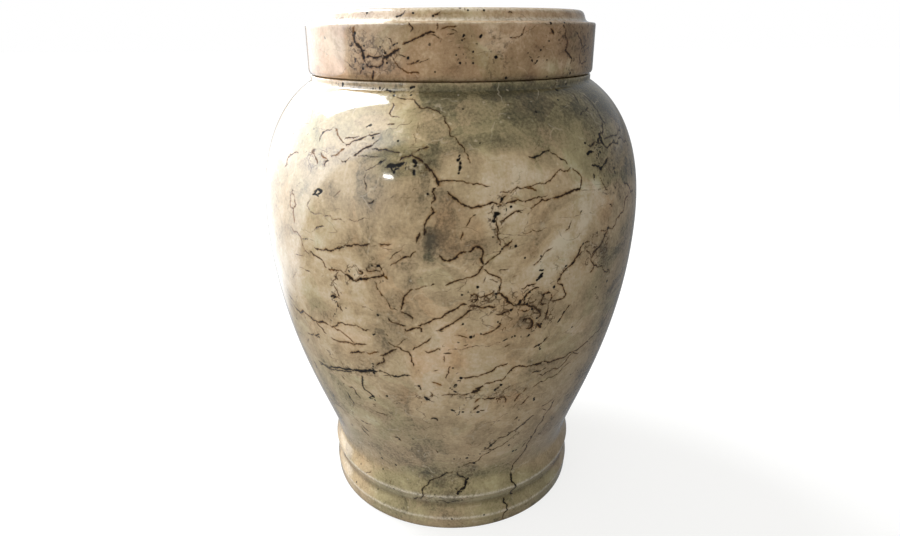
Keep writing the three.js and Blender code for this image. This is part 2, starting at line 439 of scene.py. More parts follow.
    "chain_foot": (FINE, BROWN, [(338, 302), (338, 306), (341, 309), (343, 312)]),
    "chain_fork": (HAIR, BROWN, [(374, 281), (377, 284), (379, 290), (382, 295), (387, 300), (391, 309),
        (399, 311)]),
    "far_left_scratch": (THREAD, SLATE, [(297, 265), (302, 268), (306, 271), (312, 273)]),
    "long_crack_top": (PLAIN, BROWN, [(289, 294), (292, 299), (294, 302)]),
    "long_crack": (BOLD, BROWN, [(293, 303), (295, 307), (302, 312), (311, 317), (320, 322), (325, 323),
        (329, 325)]),
    "long_crack_end": (FINE, BROWN, [(329, 325), (334, 326), (346, 325), (352, 326), (361, 328),
        (370, 330)]),
    "crack_branch": (FINE, BROWN, [(315, 321), (319, 326), (323, 329), (327, 334)]),
    "faint_slant": (HAIR, OCHRE, [(331, 327), (337, 330), (343, 333), (347, 336), (352, 341), (356, 344)]),
    "low_left_line": (HAIR, BROWN, [(307, 332), (313, 333), (319, 336)]),
    "middle_faint": (THREAD, BROWN, [(361, 308), (368, 308), (372, 311), (378, 314)]),
    "middle_slant": (FINE, BROWN, [(387, 317), (390, 321), (394, 323), (400, 325), (407, 326)]),
    "middle_tick": (FINE, BROWN, [(386, 333), (389, 337)]),
    "middle_left_dash": (PLAIN, BROWN, [(331, 338), (337, 341), (343, 342), (350, 343), (357, 343),
        (361, 345), (368, 345)]),
    "middle_left_bar": (BOLD, BROWN, [(350, 353), (356, 352), (365, 352)]),
    "bar_thread": (HAIR, OCHRE, [(365, 352), (373, 353), (380, 352)]),
    "bar_rise": (BOLD, BROWN, [(380, 356), (382, 355), (385, 355), (388, 353), (392, 351), (397, 349)]),
    "bar_drop": (PLAIN, BROWN, [(384, 356), (384, 360), (381, 363), (377, 366)]),
    "slate_head": (BOLD, SLATE, [(313, 360), (315, 363), (316, 367)]),
    "slate_upper": (BOLD, SLATE, [(318, 360), (322, 363), (326, 365), (332, 366), (339, 367), (349, 369),
        (356, 370)]),
    "slate_lower": (PLAIN, SLATE, [(320, 364), (326, 366), (331, 369), (337, 370), (344, 371), (352, 371)]),
    "slate_thick": (BROAD, SLATE, [(352, 370), (358, 370), (364, 371), (370, 370), (377, 371)]),
    "slate_thin": (FINE, SLATE, [(377, 371), (384, 372), (388, 374), (391, 378)]),
    "slate_end": (BOLD, SLATE, [(391, 376), (396, 377), (401, 376), (406, 375), (411, 375)]),
    "stroke_a": (FINE, SLATE, [(341, 375), (345, 380)]),
    "stroke_b": (PLAIN, SLATE, [(348, 386), (352, 387), (356, 393), (361, 399)]),
    "stroke_c": (PLAIN, SLATE, [(347, 392), (350, 398), (355, 405)]),
    "stroke_d": (PLAIN, SLATE, [(361, 375), (362, 379), (363, 384), (365, 390), (369, 392), (373, 396)]),
    "stroke_e": (BOLD, SLATE, [(361, 420), (364, 422)]),
    "stroke_e_tail": (HAIR, SLATE, [(364, 422), (373, 425)]),
    "stroke_f": (PLAIN, SLATE, [(361, 426), (364, 431), (370, 437)]),
    "stroke_f_twin": (PLAIN, SLATE, [(363, 427), (369, 432)]),
    "stroke_g": (PLAIN, SLATE, [(394, 437), (402, 441)]),
    "stroke_h": (PLAIN, SLATE, [(351, 423), (353, 426)]),
    "low_left_edge": (FINE, SLATE, [(328, 394), (335, 403), (341, 407), (347, 413)]),
    "loop_left": (PLAIN, BROWN, [(400, 310), (401, 305), (403, 299), (405, 295), (409, 291), (413, 289)]),
    "loop_top": (HAIR, BROWN, [(413, 289), (423, 287), (428, 286)]),
    "loop_mark": (FINE, BROWN, [(431, 285), (435, 284)]),
    "loop_foot": (PLAIN, BROWN, [(400, 311), (407, 314), (410, 316), (412, 321)]),
    "pair_upper": (PLAIN, BROWN, [(416, 326), (422, 325), (429, 323), (437, 319), (445, 314), (453, 310),
        (458, 307), (461, 305)]),
    "pair_head": (BOLD, BROWN, [(459, 306), (462, 304), (467, 305)]),
    "pair_lower": (PLAIN, BROWN, [(436, 331), (442, 329), (450, 325), (458, 320), (465, 315), (473, 310)]),
    "pair_splinter": (FINE, BROWN, [(438, 331), (443, 331)]),
    "sweep_bar": (BOLD, BROWN, [(405, 328), (406, 331), (410, 330), (416, 328), (421, 328), (422, 331),
        (420, 332)]),
    "sweep_drop": (PLAIN, BROWN, [(432, 337), (429, 340), (427, 343), (422, 345), (417, 347), (413, 350)]),
    "drop_tail": (FINE, BROWN, [(388, 341), (400, 347), (410, 353), (411, 357), (412, 362), (413, 367)]),
    "small_bow": (PLAIN, BROWN, [(425, 351), (427, 353), (432, 351), (439, 348), (441, 351)]),
    "bow_drop": (FINE, BROWN, [(444, 355), (444, 363)]),
    "bow_mark": (FINE, SLATE, [(444, 354), (449, 353), (453, 354)]),
    "bow_run": (HAIR, BROWN, [(451, 366), (448, 370), (447, 375), (446, 380)]),
    "bow_thread": (THREAD, OCHRE, [(446, 353), (457, 350), (474, 347), (486, 346), (503, 343)]),
    "clast_base": (PLAIN, BROWN, [(440, 254), (441, 258), (446, 261), (450, 261), (456, 258), (459, 254),
        (463, 252), (468, 252)]),
    "clast_side": (BOLD, BROWN, [(468, 252), (473, 248), (478, 247), (482, 250), (482, 256), (481, 261),
        (484, 265)]),
    "clast_back": (FINE, BROWN, [(484, 265), (479, 272), (476, 275), (466, 278), (458, 280), (449, 283),
        (444, 286)]),
    "cells_lead": (FINE, BROWN, [(482, 269), (487, 272), (492, 275), (497, 276), (501, 283), (499, 288)]),
    "cells_lead_end": (BOLD, BROWN, [(499, 286), (499, 292)]),
    "cells_faint": (THREAD, BROWN, [(485, 274), (484, 280), (481, 285)]),
    "cells_bar": (THREAD, BROWN, [(488, 280), (494, 280), (501, 281)]),
    "cells_left": (PLAIN, BROWN, [(480, 297), (485, 296), (489, 295), (494, 291)]),
    "cells_arch": (BOLD, BROWN, [(495, 294), (500, 293), (504, 297), (507, 302), (512, 304), (515, 306)]),
    "cells_bead": (BROAD, BROWN, [(518, 303), (521, 301)]),
    "cells_rise": (PLAIN, BROWN, [(521, 301), (523, 299), (526, 296), (530, 292), (532, 290), (536, 288),
        (540, 287)]),
    "cells_twig": (FINE, BROWN, [(520, 289), (524, 289), (528, 285), (532, 285), (537, 282)]),
    "cells_low": (PLAIN, BROWN, [(495, 314), (502, 314), (508, 312), (512, 310), (514, 307)]),
    "left_ring": (FINE, BROWN, [(470, 300), (471, 295), (475, 293), (478, 296), (477, 301), (473, 303),
        (470, 300)]),
    "left_ring_bar": (PLAIN, BROWN, [(472, 301), (479, 300)]),
    "cells_dash": (BOLD, BROWN, [(481, 302), (485, 301)]),
    "cells_string": (PLAIN, BROWN, [(467, 307), (473, 306), (479, 306), (483, 308), (487, 306), (491, 307),
        (497, 306)]),
    "cells_chain": (PLAIN, BROWN, [(517, 304), (522, 304), (527, 304), (530, 307), (535, 307), (540, 311),
        (540, 316), (537, 319)]),
    "cells_inner": (FINE, BROWN, [(531, 307), (529, 311), (524, 312), (518, 311)]),
    "right_ring": (PLAIN, BROWN, [(551, 293), (547, 292), (543, 295), (542, 299), (540, 302), (543, 305),
        (547, 303)]),
    "right_ring_side": (HAIR, BROWN, [(551, 293), (552, 297), (549, 302)]),
    "ring_drop": (BOLD, BROWN, [(548, 308), (547, 313), (546, 318)]),
    "bud_ring": (BOLD, BROWN, [(522, 322), (524, 319), (528, 318), (532, 320), (533, 324), (531, 328),
        (526, 328)]),
    "bud_end": (BOLD, BROWN, [(536, 323), (539, 325), (541, 328)]),
    "blue_thread": (HAIR, BROWN, [(553, 247), (549, 250), (543, 256), (537, 263), (532, 268)]),
    "left_twig": (FINE, BROWN, [(512, 278), (515, 276), (518, 275)]),
    "right_thick": (BOLD, BROWN, [(583, 244), (580, 248), (579, 252), (575, 258), (571, 265), (567, 268)]),
    "right_thick_low": (BOLD, BROWN, [(567, 268), (564, 271), (561, 276), (559, 280), (557, 282)]),
    "right_thick_twin": (FINE, BROWN, [(583, 251), (578, 256), (574, 261)]),
    "right_thick_top": (FINE, BROWN, [(583, 244), (586, 242), (591, 242)]),
    "right_hook": (PLAIN, BROWN, [(557, 282), (561, 284), (563, 289), (566, 294), (564, 298), (560, 299),
        (552, 301)]),
    "right_branch": (FINE, BROWN, [(585, 250), (588, 253), (591, 257), (591, 261), (594, 266), (597, 268),
        (604, 270), (609, 270)]),
    "branch_foot": (FINE, BROWN, [(594, 266), (589, 273)]),
    "branch_drop": (FINE, BROWN, [(606, 270), (609, 274)]),
    "right_chain": (FINE, BROWN, [(572, 303), (568, 307), (564, 312), (562, 316), (560, 319), (558, 323)]),
    "right_slash": (BOLD, SLATE, [(548, 336), (546, 339), (543, 342)]),
    "right_slash_low": (PLAIN, SLATE, [(543, 342), (539, 345), (533, 348)]),
    "middle_curl": (BOLD, BROWN, [(501, 323), (502, 325), (499, 326), (496, 329)]),
    "curl_tail": (FINE, BROWN, [(496, 329), (492, 331), (488, 333), (481, 334)]),
    "curl_cross": (PLAIN, BROWN, [(505, 347), (509, 344)]),
    "middle_dash": (FINE, BROWN, [(464, 346), (468, 345)]),
    "left_squiggle": (PLAIN, BROWN, [(461, 326), (463, 325), (463, 323)]),
    "low_reach": (PLAIN, BROWN, [(461, 378), (466, 379), (472, 377), (483, 374), (494, 369), (503, 365),
        (508, 363)]),
    "low_crack": (BROAD, BROWN, [(471, 393), (475, 391), (479, 388), (483, 385)]),
    "low_crack_mid": (PLAIN, BROWN, [(483, 385), (487, 383), (494, 382), (501, 381), (503, 379),
        (507, 375)]),
    "low_crack_run": (PLAIN, BROWN, [(507, 375), (512, 370), (517, 366), (523, 366), (528, 367),
        (534, 365), (543, 361)]),
    "low_crack_far": (PLAIN, BROWN, [(543, 361), (550, 362), (556, 360), (566, 356), (577, 350),
        (583, 345), (588, 341)]),
    "low_crack_end": (FINE, BROWN, [(588, 341), (592, 337), (598, 331), (602, 325), (606, 317),
        (613, 304)]),
    "low_crack_twin": (HAIR, BROWN, [(538, 375), (546, 372), (554, 368), (566, 361), (580, 351)]),
    "low_crack_echo": (HAIR, BROWN, [(532, 387), (541, 381), (549, 377), (560, 371), (572, 362)]),
    "low_thread": (THREAD, BROWN, [(503, 391), (508, 387), (513, 386), (521, 383), (525, 381)]),
    "low_splinter": (BOLD, SLATE, [(532, 373), (537, 371), (542, 370)]),
    "splinter_end": (FINE, SLATE, [(542, 370), (547, 368)]),
    "pair_join": (FINE, BROWN, [(495, 390), (498, 387), (501, 385)]),
    "edge_stroke": (HAIR, SLATE, [(582, 375), (578, 382), (574, 389)]),
    "ragged_left": (FINE, BROWN, [(440, 396), (447, 395), (453, 395), (461, 395), (470, 393)]),
    "ragged_start": (FINE, OCHRE, [(474, 403), (477, 399), (482, 398)]),
    "ragged_run": (BOLD, BROWN, [(482, 398), (485, 400), (488, 398), (492, 399), (496, 397)]),
    "ragged_mid": (PLAIN, BROWN, [(496, 397), (497, 400), (501, 397), (505, 397), (506, 400), (505, 403)]),
    "ragged_tooth": (BOLD, BROWN, [(514, 402), (517, 398), (519, 394), (522, 393)]),
    "ragged_tip": (PLAIN, BROWN, [(522, 393), (525, 390), (527, 387)]),
    "ragged_fang": (PLAIN, BROWN, [(521, 405), (523, 403), (527, 398), (530, 395)]),
    "belt_dash": (BOLD, BROWN, [(473, 410), (476, 408), (479, 405)]),
    "belt_bar": (FINE, BROWN, [(480, 410), (485, 410)]),
    "belt_left": (PLAIN, OCHRE, [(431, 382), (436, 383), (443, 386)]),
    "belt_dark": (BROAD, SLATE, [(424, 397), (427, 399), (430, 401)]),
    "belt_upright": (PLAIN, BROWN, [(432, 393), (431, 398)]),
    "belt_speck": (PLAIN, SLATE, [(417, 385), (420, 387), (421, 390)]),
    "belt_wedge": (BOLD, SLATE, [(431, 419), (436, 418), (438, 421)]),
    "belt_tick": (FINE, BROWN, [(432, 371), (438, 370)]),
    "base_dash": (BOLD, SLATE, [(514, 420), (518, 416)]),
    "base_slant": (PLAIN, SLATE, [(534, 415), (525, 424), (518, 428), (511, 432), (503, 437), (497, 440)]),
    "base_slant_low": (BOLD, SLATE, [(497, 440), (494, 443), (490, 446), (483, 450)]),
    "base_twin": (FINE, SLATE, [(513, 437), (505, 443), (496, 448), (488, 453), (480, 458), (474, 463),
        (462, 466)]),
    "base_right": (PLAIN, SLATE, [(526, 442), (522, 447)]),
    "base_left": (FINE, BROWN, [(436, 450), (438, 454)]),
    "foot_crack": (FINE, SLATE, [(555, 399), (550, 409), (544, 418), (539, 424), (535, 432), (530, 440),
        (527, 446), (518, 459), (511, 471)]),
    "foot_crack_step": (BOLD, SLATE, [(511, 471), (511, 478), (516, 486), (513, 494)]),
    "foot_crack_end": (PLAIN, SLATE, [(504, 497), (503, 502), (507, 510), (505, 519)]),
    "foot_smear": (PLAIN, SLATE, [(453, 471), (441, 476), (429, 481), (426, 486), (413, 499)]),
    "foot_blotch": (BOLD, SLATE, [(458, 471), (464, 477), (465, 486), (456, 494)]),
    "foot_wisp": (FINE, SLATE, [(436, 501), (448, 503), (461, 501)]),
}

# Dark spots read off the photograph: the pixel in the middle of each and its radius in millimetres
SPOTS = {
    "left_pair": [(315, 193, 1.1), (321, 191, 1.2), (318, 189, 0.5), (313, 195, 0.5), (318, 196, 0.4)],
    "arch": [(367, 126, 0.8), (371, 125, 0.7), (393, 124, 0.4), (398, 141, 0.6), (373, 138, 0.6),
        (416, 103, 0.5), (314, 129, 0.4)],
    "around_the_crest": [(394, 172, 0.8), (414, 171, 0.8), (414, 174, 0.8), (428, 194, 0.7),
        (414, 161, 1.0), (416, 163, 0.9), (389, 166, 0.9), (399, 166, 0.8)],
    "blue_column": [(460, 156, 0.8), (458, 160, 0.9), (460, 163, 0.9), (460, 169, 0.8), (459, 173, 0.7)],
    "shoulder": [(536, 112, 0.7), (557, 90, 1.0), (558, 100, 0.6), (463, 109, 0.6), (480, 143, 0.5),
        (593, 110, 0.5), (566, 84, 0.6), (592, 128, 0.5), (585, 143, 0.7), (588, 82, 0.6)],
    "cluster": [(599, 134, 0.7), (601, 138, 0.8), (598, 141, 0.8), (602, 142, 0.8), (604, 145, 0.6),
        (614, 141, 0.8), (619, 129, 0.6), (624, 142, 0.5), (600, 152, 0.7), (597, 158, 0.6),
        (595, 148, 0.5), (602, 126, 0.6)],
    "cluster_low": [(601, 169, 0.9), (614, 168, 0.7), (615, 173, 0.6), (608, 183, 0.6), (614, 193, 0.5),
        (612, 160, 0.5)],
    "drop": [(511, 207, 0.7), (496, 214, 1.1), (499, 214, 0.9), (494, 221, 1.0), (502, 199, 0.8),
        (493, 237, 0.5), (516, 246, 0.8), (502, 249, 0.6)],
    "blue_tail": [(541, 276, 1.2), (543, 270, 0.8), (540, 270, 0.6), (537, 280, 0.8), (541, 256, 0.6),
        (525, 258, 0.6)],
    "cells": [(496, 294, 0.8), (496, 297, 0.6), (478, 287, 0.8), (462, 295, 0.6), (520, 302, 1.0),
        (530, 292, 0.7), (527, 304, 0.8), (532, 309, 0.8), (537, 318, 0.7), (541, 324, 0.6),
        (536, 328, 0.6), (511, 310, 0.8)],
    "middle": [(471, 337, 1.0), (463, 324, 0.6), (481, 334, 0.5), (498, 322, 0.6), (503, 341, 0.5),
        (507, 339, 0.6), (515, 336, 0.7), (527, 337, 0.7), (529, 335, 0.7), (540, 349, 0.7),
        (539, 345, 0.8)],
    "right": [(554, 287, 0.9), (607, 281, 0.9), (596, 287, 0.7), (572, 327, 0.5), (583, 244, 0.7),
        (608, 228, 0.9), (564, 312, 0.6), (560, 319, 0.7), (558, 322, 0.5), (566, 266, 0.6)],
    "low_pair": [(461, 378, 1.1), (501, 385, 1.0), (495, 390, 0.8), (453, 368, 0.6), (456, 385, 0.8),
        (450, 388, 0.5), (454, 391, 0.6), (456, 392, 0.5)],
    "belt": [(478, 412, 1.0), (452, 410, 0.8), (454, 411, 0.6), (463, 412, 0.8), (464, 405, 0.5),
        (457, 415, 0.4), (427, 399, 1.0), (419, 386, 0.8), (534, 398, 0.7), (534, 400, 0.7),
        (519, 420, 0.6), (519, 409, 0.4)],
    "left_chain": [(332, 297, 0.9), (335, 297, 0.9), (332, 292, 0.4), (338, 306, 0.6), (335, 314, 0.5),
        (331, 320, 0.5), (349, 271, 0.6), (379, 266, 0.8), (372, 266, 0.5), (383, 281, 0.4),
        (361, 279, 0.8), (303, 239, 0.5), (307, 239, 0.5), (346, 308, 0.4), (378, 315, 0.8),
        (373, 335, 0.6), (375, 334, 0.5), (319, 337, 0.8)],
    "slate_band": [(374, 373, 0.9), (373, 369, 0.6), (362, 371, 1.0), (396, 376, 0.7), (373, 364, 0.7),
        (373, 396, 1.1), (370, 398, 0.8), (375, 400, 0.7), (363, 380, 0.5), (387, 396, 0.8),
        (353, 414, 0.5)],
    "waist": [(382, 458, 0.8), (380, 453, 0.5), (361, 464, 0.6), (383, 469, 0.6), (396, 465, 0.8),
        (413, 439, 0.5), (454, 459, 0.6), (467, 458, 1.0), (474, 463, 1.0), (459, 467, 0.6),
        (480, 454, 0.6)],
    "waist_right": [(509, 445, 0.8), (513, 451, 0.9), (516, 450, 0.9), (485, 448, 0.7), (491, 446, 0.7),
        (490, 443, 0.6)],
    "foot_blotch": [(466, 482, 1.0), (464, 488, 1.0), (458, 494, 0.9), (468, 478, 0.8), (462, 500, 0.7),
        (437, 502, 0.7)],
    "foot_dots": [(394, 489, 0.6), (378, 489, 0.5), (452, 519, 0.6), (484, 515, 0.6)],
    "collar": [(343, 84, 0.9), (342, 86, 0.7), (336, 83, 0.6), (390, 91, 0.9), (387, 90, 0.8),
        (394, 92, 0.7), (411, 88, 0.7), (414, 87, 0.7), (380, 88, 0.8), (411, 95, 0.6), (394, 96, 0.7),
        (373, 89, 0.5)],
    "lid": [(481, 36, 0.8), (480, 37, 0.7), (496, 57, 0.9), (506, 78, 0.8), (551, 23, 0.8), (564, 22, 0.8),
        (473, 63, 0.6), (456, 55, 0.5), (460, 63, 0.6), (464, 35, 0.5), (462, 40, 0.4), (473, 52, 0.5),
        (435, 72, 0.4)],
    "lid_right": [(532, 60, 0.6), (537, 61, 0.6), (534, 64, 0.6), (547, 60, 0.4), (570, 73, 0.7),
        (584, 60, 0.4), (582, 51, 0.4), (528, 53, 0.4), (549, 41, 0.4), (541, 50, 0.5)],
    "lid_fault": [(385, 53, 0.7), (364, 46, 0.6), (387, 63, 0.7), (408, 58, 0.7), (397, 43, 0.5),
        (380, 47, 0.5), (393, 45, 0.4), (364, 57, 0.9), (355, 33, 0.8), (363, 69, 0.7)],
    "lid_disc": [(484, 10, 0.6), (468, 10, 0.6), (460, 8, 0.6), (413, 13, 0.6), (433, 16, 0.7),
        (367, 13, 0.7)],
}

# Broad tones read off the photograph, some of them painted shade and painted light: how much lighter, how
# much warmer, and the pixels of the outline
TONES = {
    # Painted shade and painted dark reflection of the lid, darkening the shoulder below it
    "painted_lid_shade": (-0.2, -0.2, [(392, 84), (590, 78), (616, 108), (600, 126), (560, 130), (470, 126),
        (424, 116), (400, 98)]),
    # Painted shade and painted dark reflection of the lid, in a band just below the seam
    "collar": (-0.55, -0.3, [(340, 78), (590, 74), (598, 84), (560, 92), (460, 96), (404, 96), (344, 88)]),
    # Partly the stone's own darker green, partly painted shade on the upward-facing shoulder
    "right_shoulder_tone_and_shade": (-0.7, -0.5, [(420, 90), (604, 84), (632, 130), (640, 176), (604, 186), (562, 154),
        (500, 150), (440, 154), (404, 124)]),
    "shoulder_left": (-0.05, -0.5, [(296, 96), (400, 92), (420, 120), (404, 150), (350, 140), (290, 150),
        (276, 130)]),
    "grey_side": (-0.15, -0.3, [(352, 152), (392, 148), (400, 176), (384, 200), (360, 204), (352, 180)]),
    "smoky_hollow": (-0.6, -0.5, [(378, 158), (398, 148), (436, 146), (440, 168), (420, 176), (398, 180),
        (382, 174)]),
    "shaded_slope": (-0.5, -0.5, [(526, 158), (548, 149), (568, 165), (548, 171), (528, 168)]),
    "cream_band": (0.95, -0.25, [(574, 184), (601, 178), (604, 204), (586, 236), (566, 262), (546, 282),
        (534, 268), (556, 240), (573, 215)]),
    "light_left": (0.2, -0.15, [(296, 170), (348, 164), (356, 196), (340, 238), (306, 244), (288, 208)]),
    "light_middle": (0.4, 0.0, [(474, 150), (520, 160), (556, 172), (548, 200), (530, 228), (496, 250),
        (484, 214)]),
    "brown_clast": (-0.5, 0.5, [(440, 184), (468, 208), (486, 224), (486, 246), (462, 252), (444, 258),
        (430, 240)]),
    "grey_stain": (-1.1, -0.5, [(425, 230), (433, 234), (434, 248), (430, 262), (425, 260), (424, 244)]),
    "pale_middle": (0.35, -0.1, [(440, 262), (500, 272), (540, 262), (560, 270), (552, 290), (516, 292),
        (470, 296), (404, 290), (398, 270)]),
    "olive_smear": (-0.6, -0.1, [(303, 288), (318, 296), (334, 310), (338, 326), (322, 322), (306, 308)]),
    "loop_clast": (0.0, 0.2, [(402, 300), (412, 289), (450, 284), (482, 268), (484, 296), (462, 304),
        (440, 318), (412, 322)]),
    "right_olive": (-0.4, -0.4, [(600, 244), (632, 214), (630, 284), (612, 328), (590, 332), (580, 300)]),
    "cells_ground": (-0.25, 0.1, [(486, 292), (560, 296), (556, 326), (524, 334), (496, 318)]),
    "pink_middle": (0.15, 0.35, [(410, 356), (450, 344), (470, 362), (466, 394), (432, 398), (412, 380)]),
    "light_left_low": (0.35, 0.0, [(290, 236), (345, 236), (372, 300), (372, 350), (318, 350), (296, 300)]),
    "grey_left": (0.0, -0.35, [(312, 356), (396, 378), (404, 420), (380, 452), (350, 432), (326, 396)]),
    "grey_base": (-0.45, -0.05, [(350, 428), (430, 414), (520, 430), (556, 414), (562, 470), (480, 478),
        (352, 462)]),
    "foot_middle": (-0.25, -0.5, [(372, 468), (562, 468), (556, 520), (470, 536), (372, 512)]),
    "foot_light": (0.1, -0.4, [(372, 470), (440, 484), (430, 528), (372, 512)]),
    "foot_right": (-0.1, -0.4, [(480, 484), (560, 472), (558, 500), (500, 524), (476, 516)]),
    "lens_shade": (-0.3, -0.1, [(552, 178), (571, 168), (580, 186), (545, 198), (522, 205), (500, 203),
        (503, 194)]),
    "lid_blush": (0.3, 0.4, [(306, 22), (350, 22), (352, 84), (308, 78)]),
    "lid_brown": (-0.3, 0.3, [(352, 60), (420, 64), (424, 84), (356, 84)]),
    "lid_pale": (0.5, 0.1, [(476, 22), (530, 22), (530, 44), (500, 52), (480, 44)]),
    "lid_dusk": (-0.35, -0.1, [(556, 36), (592, 30), (590, 56), (560, 58)]),
    "lid_shell": (0.75, -0.4, [(536, 62), (572, 58), (574, 74), (540, 78)]),
    "lid_middle_brown": (-0.45, 0.1, [(440, 30), (476, 28), (478, 72), (444, 74)]),
    # Painted light: the side of the raised disc lightened as if lit from above
    "disc_side_painted_light": (0.5, -0.2, [(400, 6), (580, 8), (580, 17), (400, 17)]),
}

# Turned edges painted pale, as painted highlight and wear, and painted shade in the foot's groove and along
# its standing edge: radius, height, width and amount
EDGE_HIGHLIGHTS_AND_SHADE = {
    "upper_ring": (RING_RADIUS, UPPER_RING_HEIGHT, 1.1 * MM, 0.75),
    "lower_ring": (RING_RADIUS, LOWER_RING_HEIGHT, 1.0 * MM, 0.65),
    "foot_groove": (GROOVE_RADIUS, GROOVE_HEIGHT, 2.4 * MM, -0.8),
    "standing_edge": (STANDING_RADIUS, 0.0, 3.2 * MM, -0.7),
    "drum_upper": (DRUM_RADIUS, SEAT_HEIGHT + DRUM_HEIGHT, 0.9 * MM, 0.5),
    "drum_lower": (DRUM_RADIUS, SEAT_HEIGHT, 1.3 * MM, 0.3),
    "disc_foot": (DISC_FOOT_RADIUS, SEAT_HEIGHT + DRUM_HEIGHT + LEDGE_RISE, 1.7 * MM, 0.8),
    "disc_top": (DISC_TOP_RADIUS, LID_TOP_HEIGHT, 1.5 * MM, 0.9),
}

# Where small marks crowd together: how many loops, specks and dark dust, and the pixels of the outline
CROWDS = {
    "cells": (1.0, 0.3, 0.3, [(468, 296), (500, 288), (552, 290), (556, 322), (524, 332), (494, 318),
        (470, 310)]),
    "shoulder_specks": (0.35, 1.0, 0.7, [(584, 104), (616, 104), (632, 150), (630, 200), (604, 196),
        (586, 150)]),
    "edge_loops": (0.6, 0.4, 0.2, [(580, 240), (604, 226), (616, 244), (596, 272), (576, 262)]),
    "ragged_belt": (0.5, 0.5, 0.6, [(446, 390), (528, 384), (534, 400), (506, 402), (446, 402)]),
    "low_specks": (0.0, 1.0, 0.3, [(448, 404), (490, 404), (488, 418), (450, 420)]),
    "chain_loops": (0.7, 0.5, 0.3, [(330, 264), (388, 262), (388, 284), (344, 286), (342, 312),
        (328, 300)]),
    "knot": (0.5, 0.4, 0.4, [(300, 146), (334, 146), (332, 172), (300, 170)]),
    "drop_specks": (0.6, 0.8, 0.4, [(486, 190), (506, 190), (508, 232), (516, 248), (494, 250),
        (486, 220)]),
    "arch_dust": (0.3, 0.4, 0.4, [(352, 120), (392, 118), (394, 146), (354, 152)]),
    "left_specks": (0.3, 0.5, 0.2, [(282, 100), (322, 98), (326, 132), (290, 146)]),
    "centre_dust": (0.2, 0.2, 0.9, [(404, 148), (430, 146), (444, 180), (436, 196), (420, 172),
        (386, 176)]),
    "stain_dust": (0.0, 0.2, 1.0, [(418, 226), (438, 226), (440, 250), (432, 268), (420, 262)]),
    "band_dust": (0.2, 0.4, 0.9, [(340, 362), (384, 366), (384, 378), (344, 376)]),
    "lower_left_specks": (0.5, 0.6, 0.3, [(404, 382), (446, 386), (450, 404), (414, 406)]),
    "foot_dust": (0.1, 0.5, 0.7, [(420, 466), (476, 460), (474, 500), (430, 506), (408, 500)]),
    "collar_dust": (0.1, 0.5, 0.8, [(330, 80), (440, 84), (440, 96), (392, 98), (332, 88)]),
    "fault_dust": (0.5, 0.6, 0.8, [(344, 24), (400, 40), (402, 74), (352, 82)]),
    "lid_mottle": (0.2, 0.6, 0.8, [(484, 28), (516, 28), (510, 80), (486, 80)]),
    "lid_edge_dust": (0.3, 0.8, 1.0, [(556, 22), (592, 22), (590, 72), (562, 76)]),
}


def point(radius, height):
    return np.array([radius, height], dtype=float)


def evenly(points, step):
    """The same line, with its points a step apart along it."""
    points = np.asarray(points)
    lengths = np.linalg.norm(np.diff(points, axis=0), axis=1)
    travelled = np.concatenate([[0.0], np.cumsum(lengths)])
    count = max(2, int(round(travelled[-1] / step)) + 1)
    stations = np.linspace(0.0, travelled[-1], count)
    columns = [np.interp(stations, travelled, points[:, k]) for k in range(points.shape[1])]
    return np.stack(columns, axis=1)


def bend(start, leave, arrive, end):
    """A finely sampled cubic bend between two points."""
    t = np.linspace(0.0, 1.0, BEND_POINTS)[:, None]
    near = (1 - t) ** 3 * start + 3 * (1 - t) ** 2 * t * leave
    far = 3 * (1 - t) * t ** 2 * arrive + t ** 3 * end
    return near + far


def rounded(before, corner, after, cut_back):
    """Points round a corner that is cut back by the same length on both of its sides."""
    start = corner + (before - corner) / np.linalg.norm(before - corner) * cut_back
    end = corner + (after - corner) / np.linalg.norm(after - corner) * cut_back
    t = np.linspace(0.0, 1.0, EDGE_POINTS)[:, None]
    return (1 - t) ** 2 * start + 2 * (1 - t) * t * corner + t ** 2 * end


def joined(*runs, step):
    """One outline from several runs of points, with the straight gaps between them filled in."""
    outline = [runs[0][0]]
    for run in runs:
        gap = np.linalg.norm(run[0] - outline[-1])
        if gap > step:
            outline.extend(evenly([outline[-1], run[0]], step)[1:-1])
        for place in run:
            if np.linalg.norm(place - outline[-1]) > SAME_PLACE:
                outline.append(place)
    return np.array(outline)


def inner_face(curve, thickness):
    """The inner face of a wall whose outer face is the curve, which runs upwards."""
    along = np.gradient(curve, axis=0)
    along /= np.linalg.norm(along, axis=1)[:, None]
    return curve + np.stack([-along[:, 1], along[:, 0]], axis=1) * thickness


def taper_curve():
    waist = point(WAIST_RADIUS, WAIST_HEIGHT)
    belly = point(BELLY_RADIUS, BELLY_HEIGHT)
    leaving = point(WAIST_RADIUS, WAIST_HEIGHT + WAIST_PULL)
    arriving = point(BELLY_RADIUS, BELLY_HEIGHT - BELLY_PULL_DOWN)
    return bend(waist, leaving, arriving, belly)


def shoulder_curve():
    belly = point(BELLY_RADIUS, BELLY_HEIGHT)
    neck_foot = point(NECK_RADIUS, RIM_HEIGHT - NECK_HEIGHT)
    leaving = point(BELLY_RADIUS, BELLY_HEIGHT + BELLY_PULL_UP)
    arriving = neck_foot + point(NECK_PULL_OUT, -NECK_PULL_DOWN)
    return bend(belly, leaving, arriving, neck_foot)


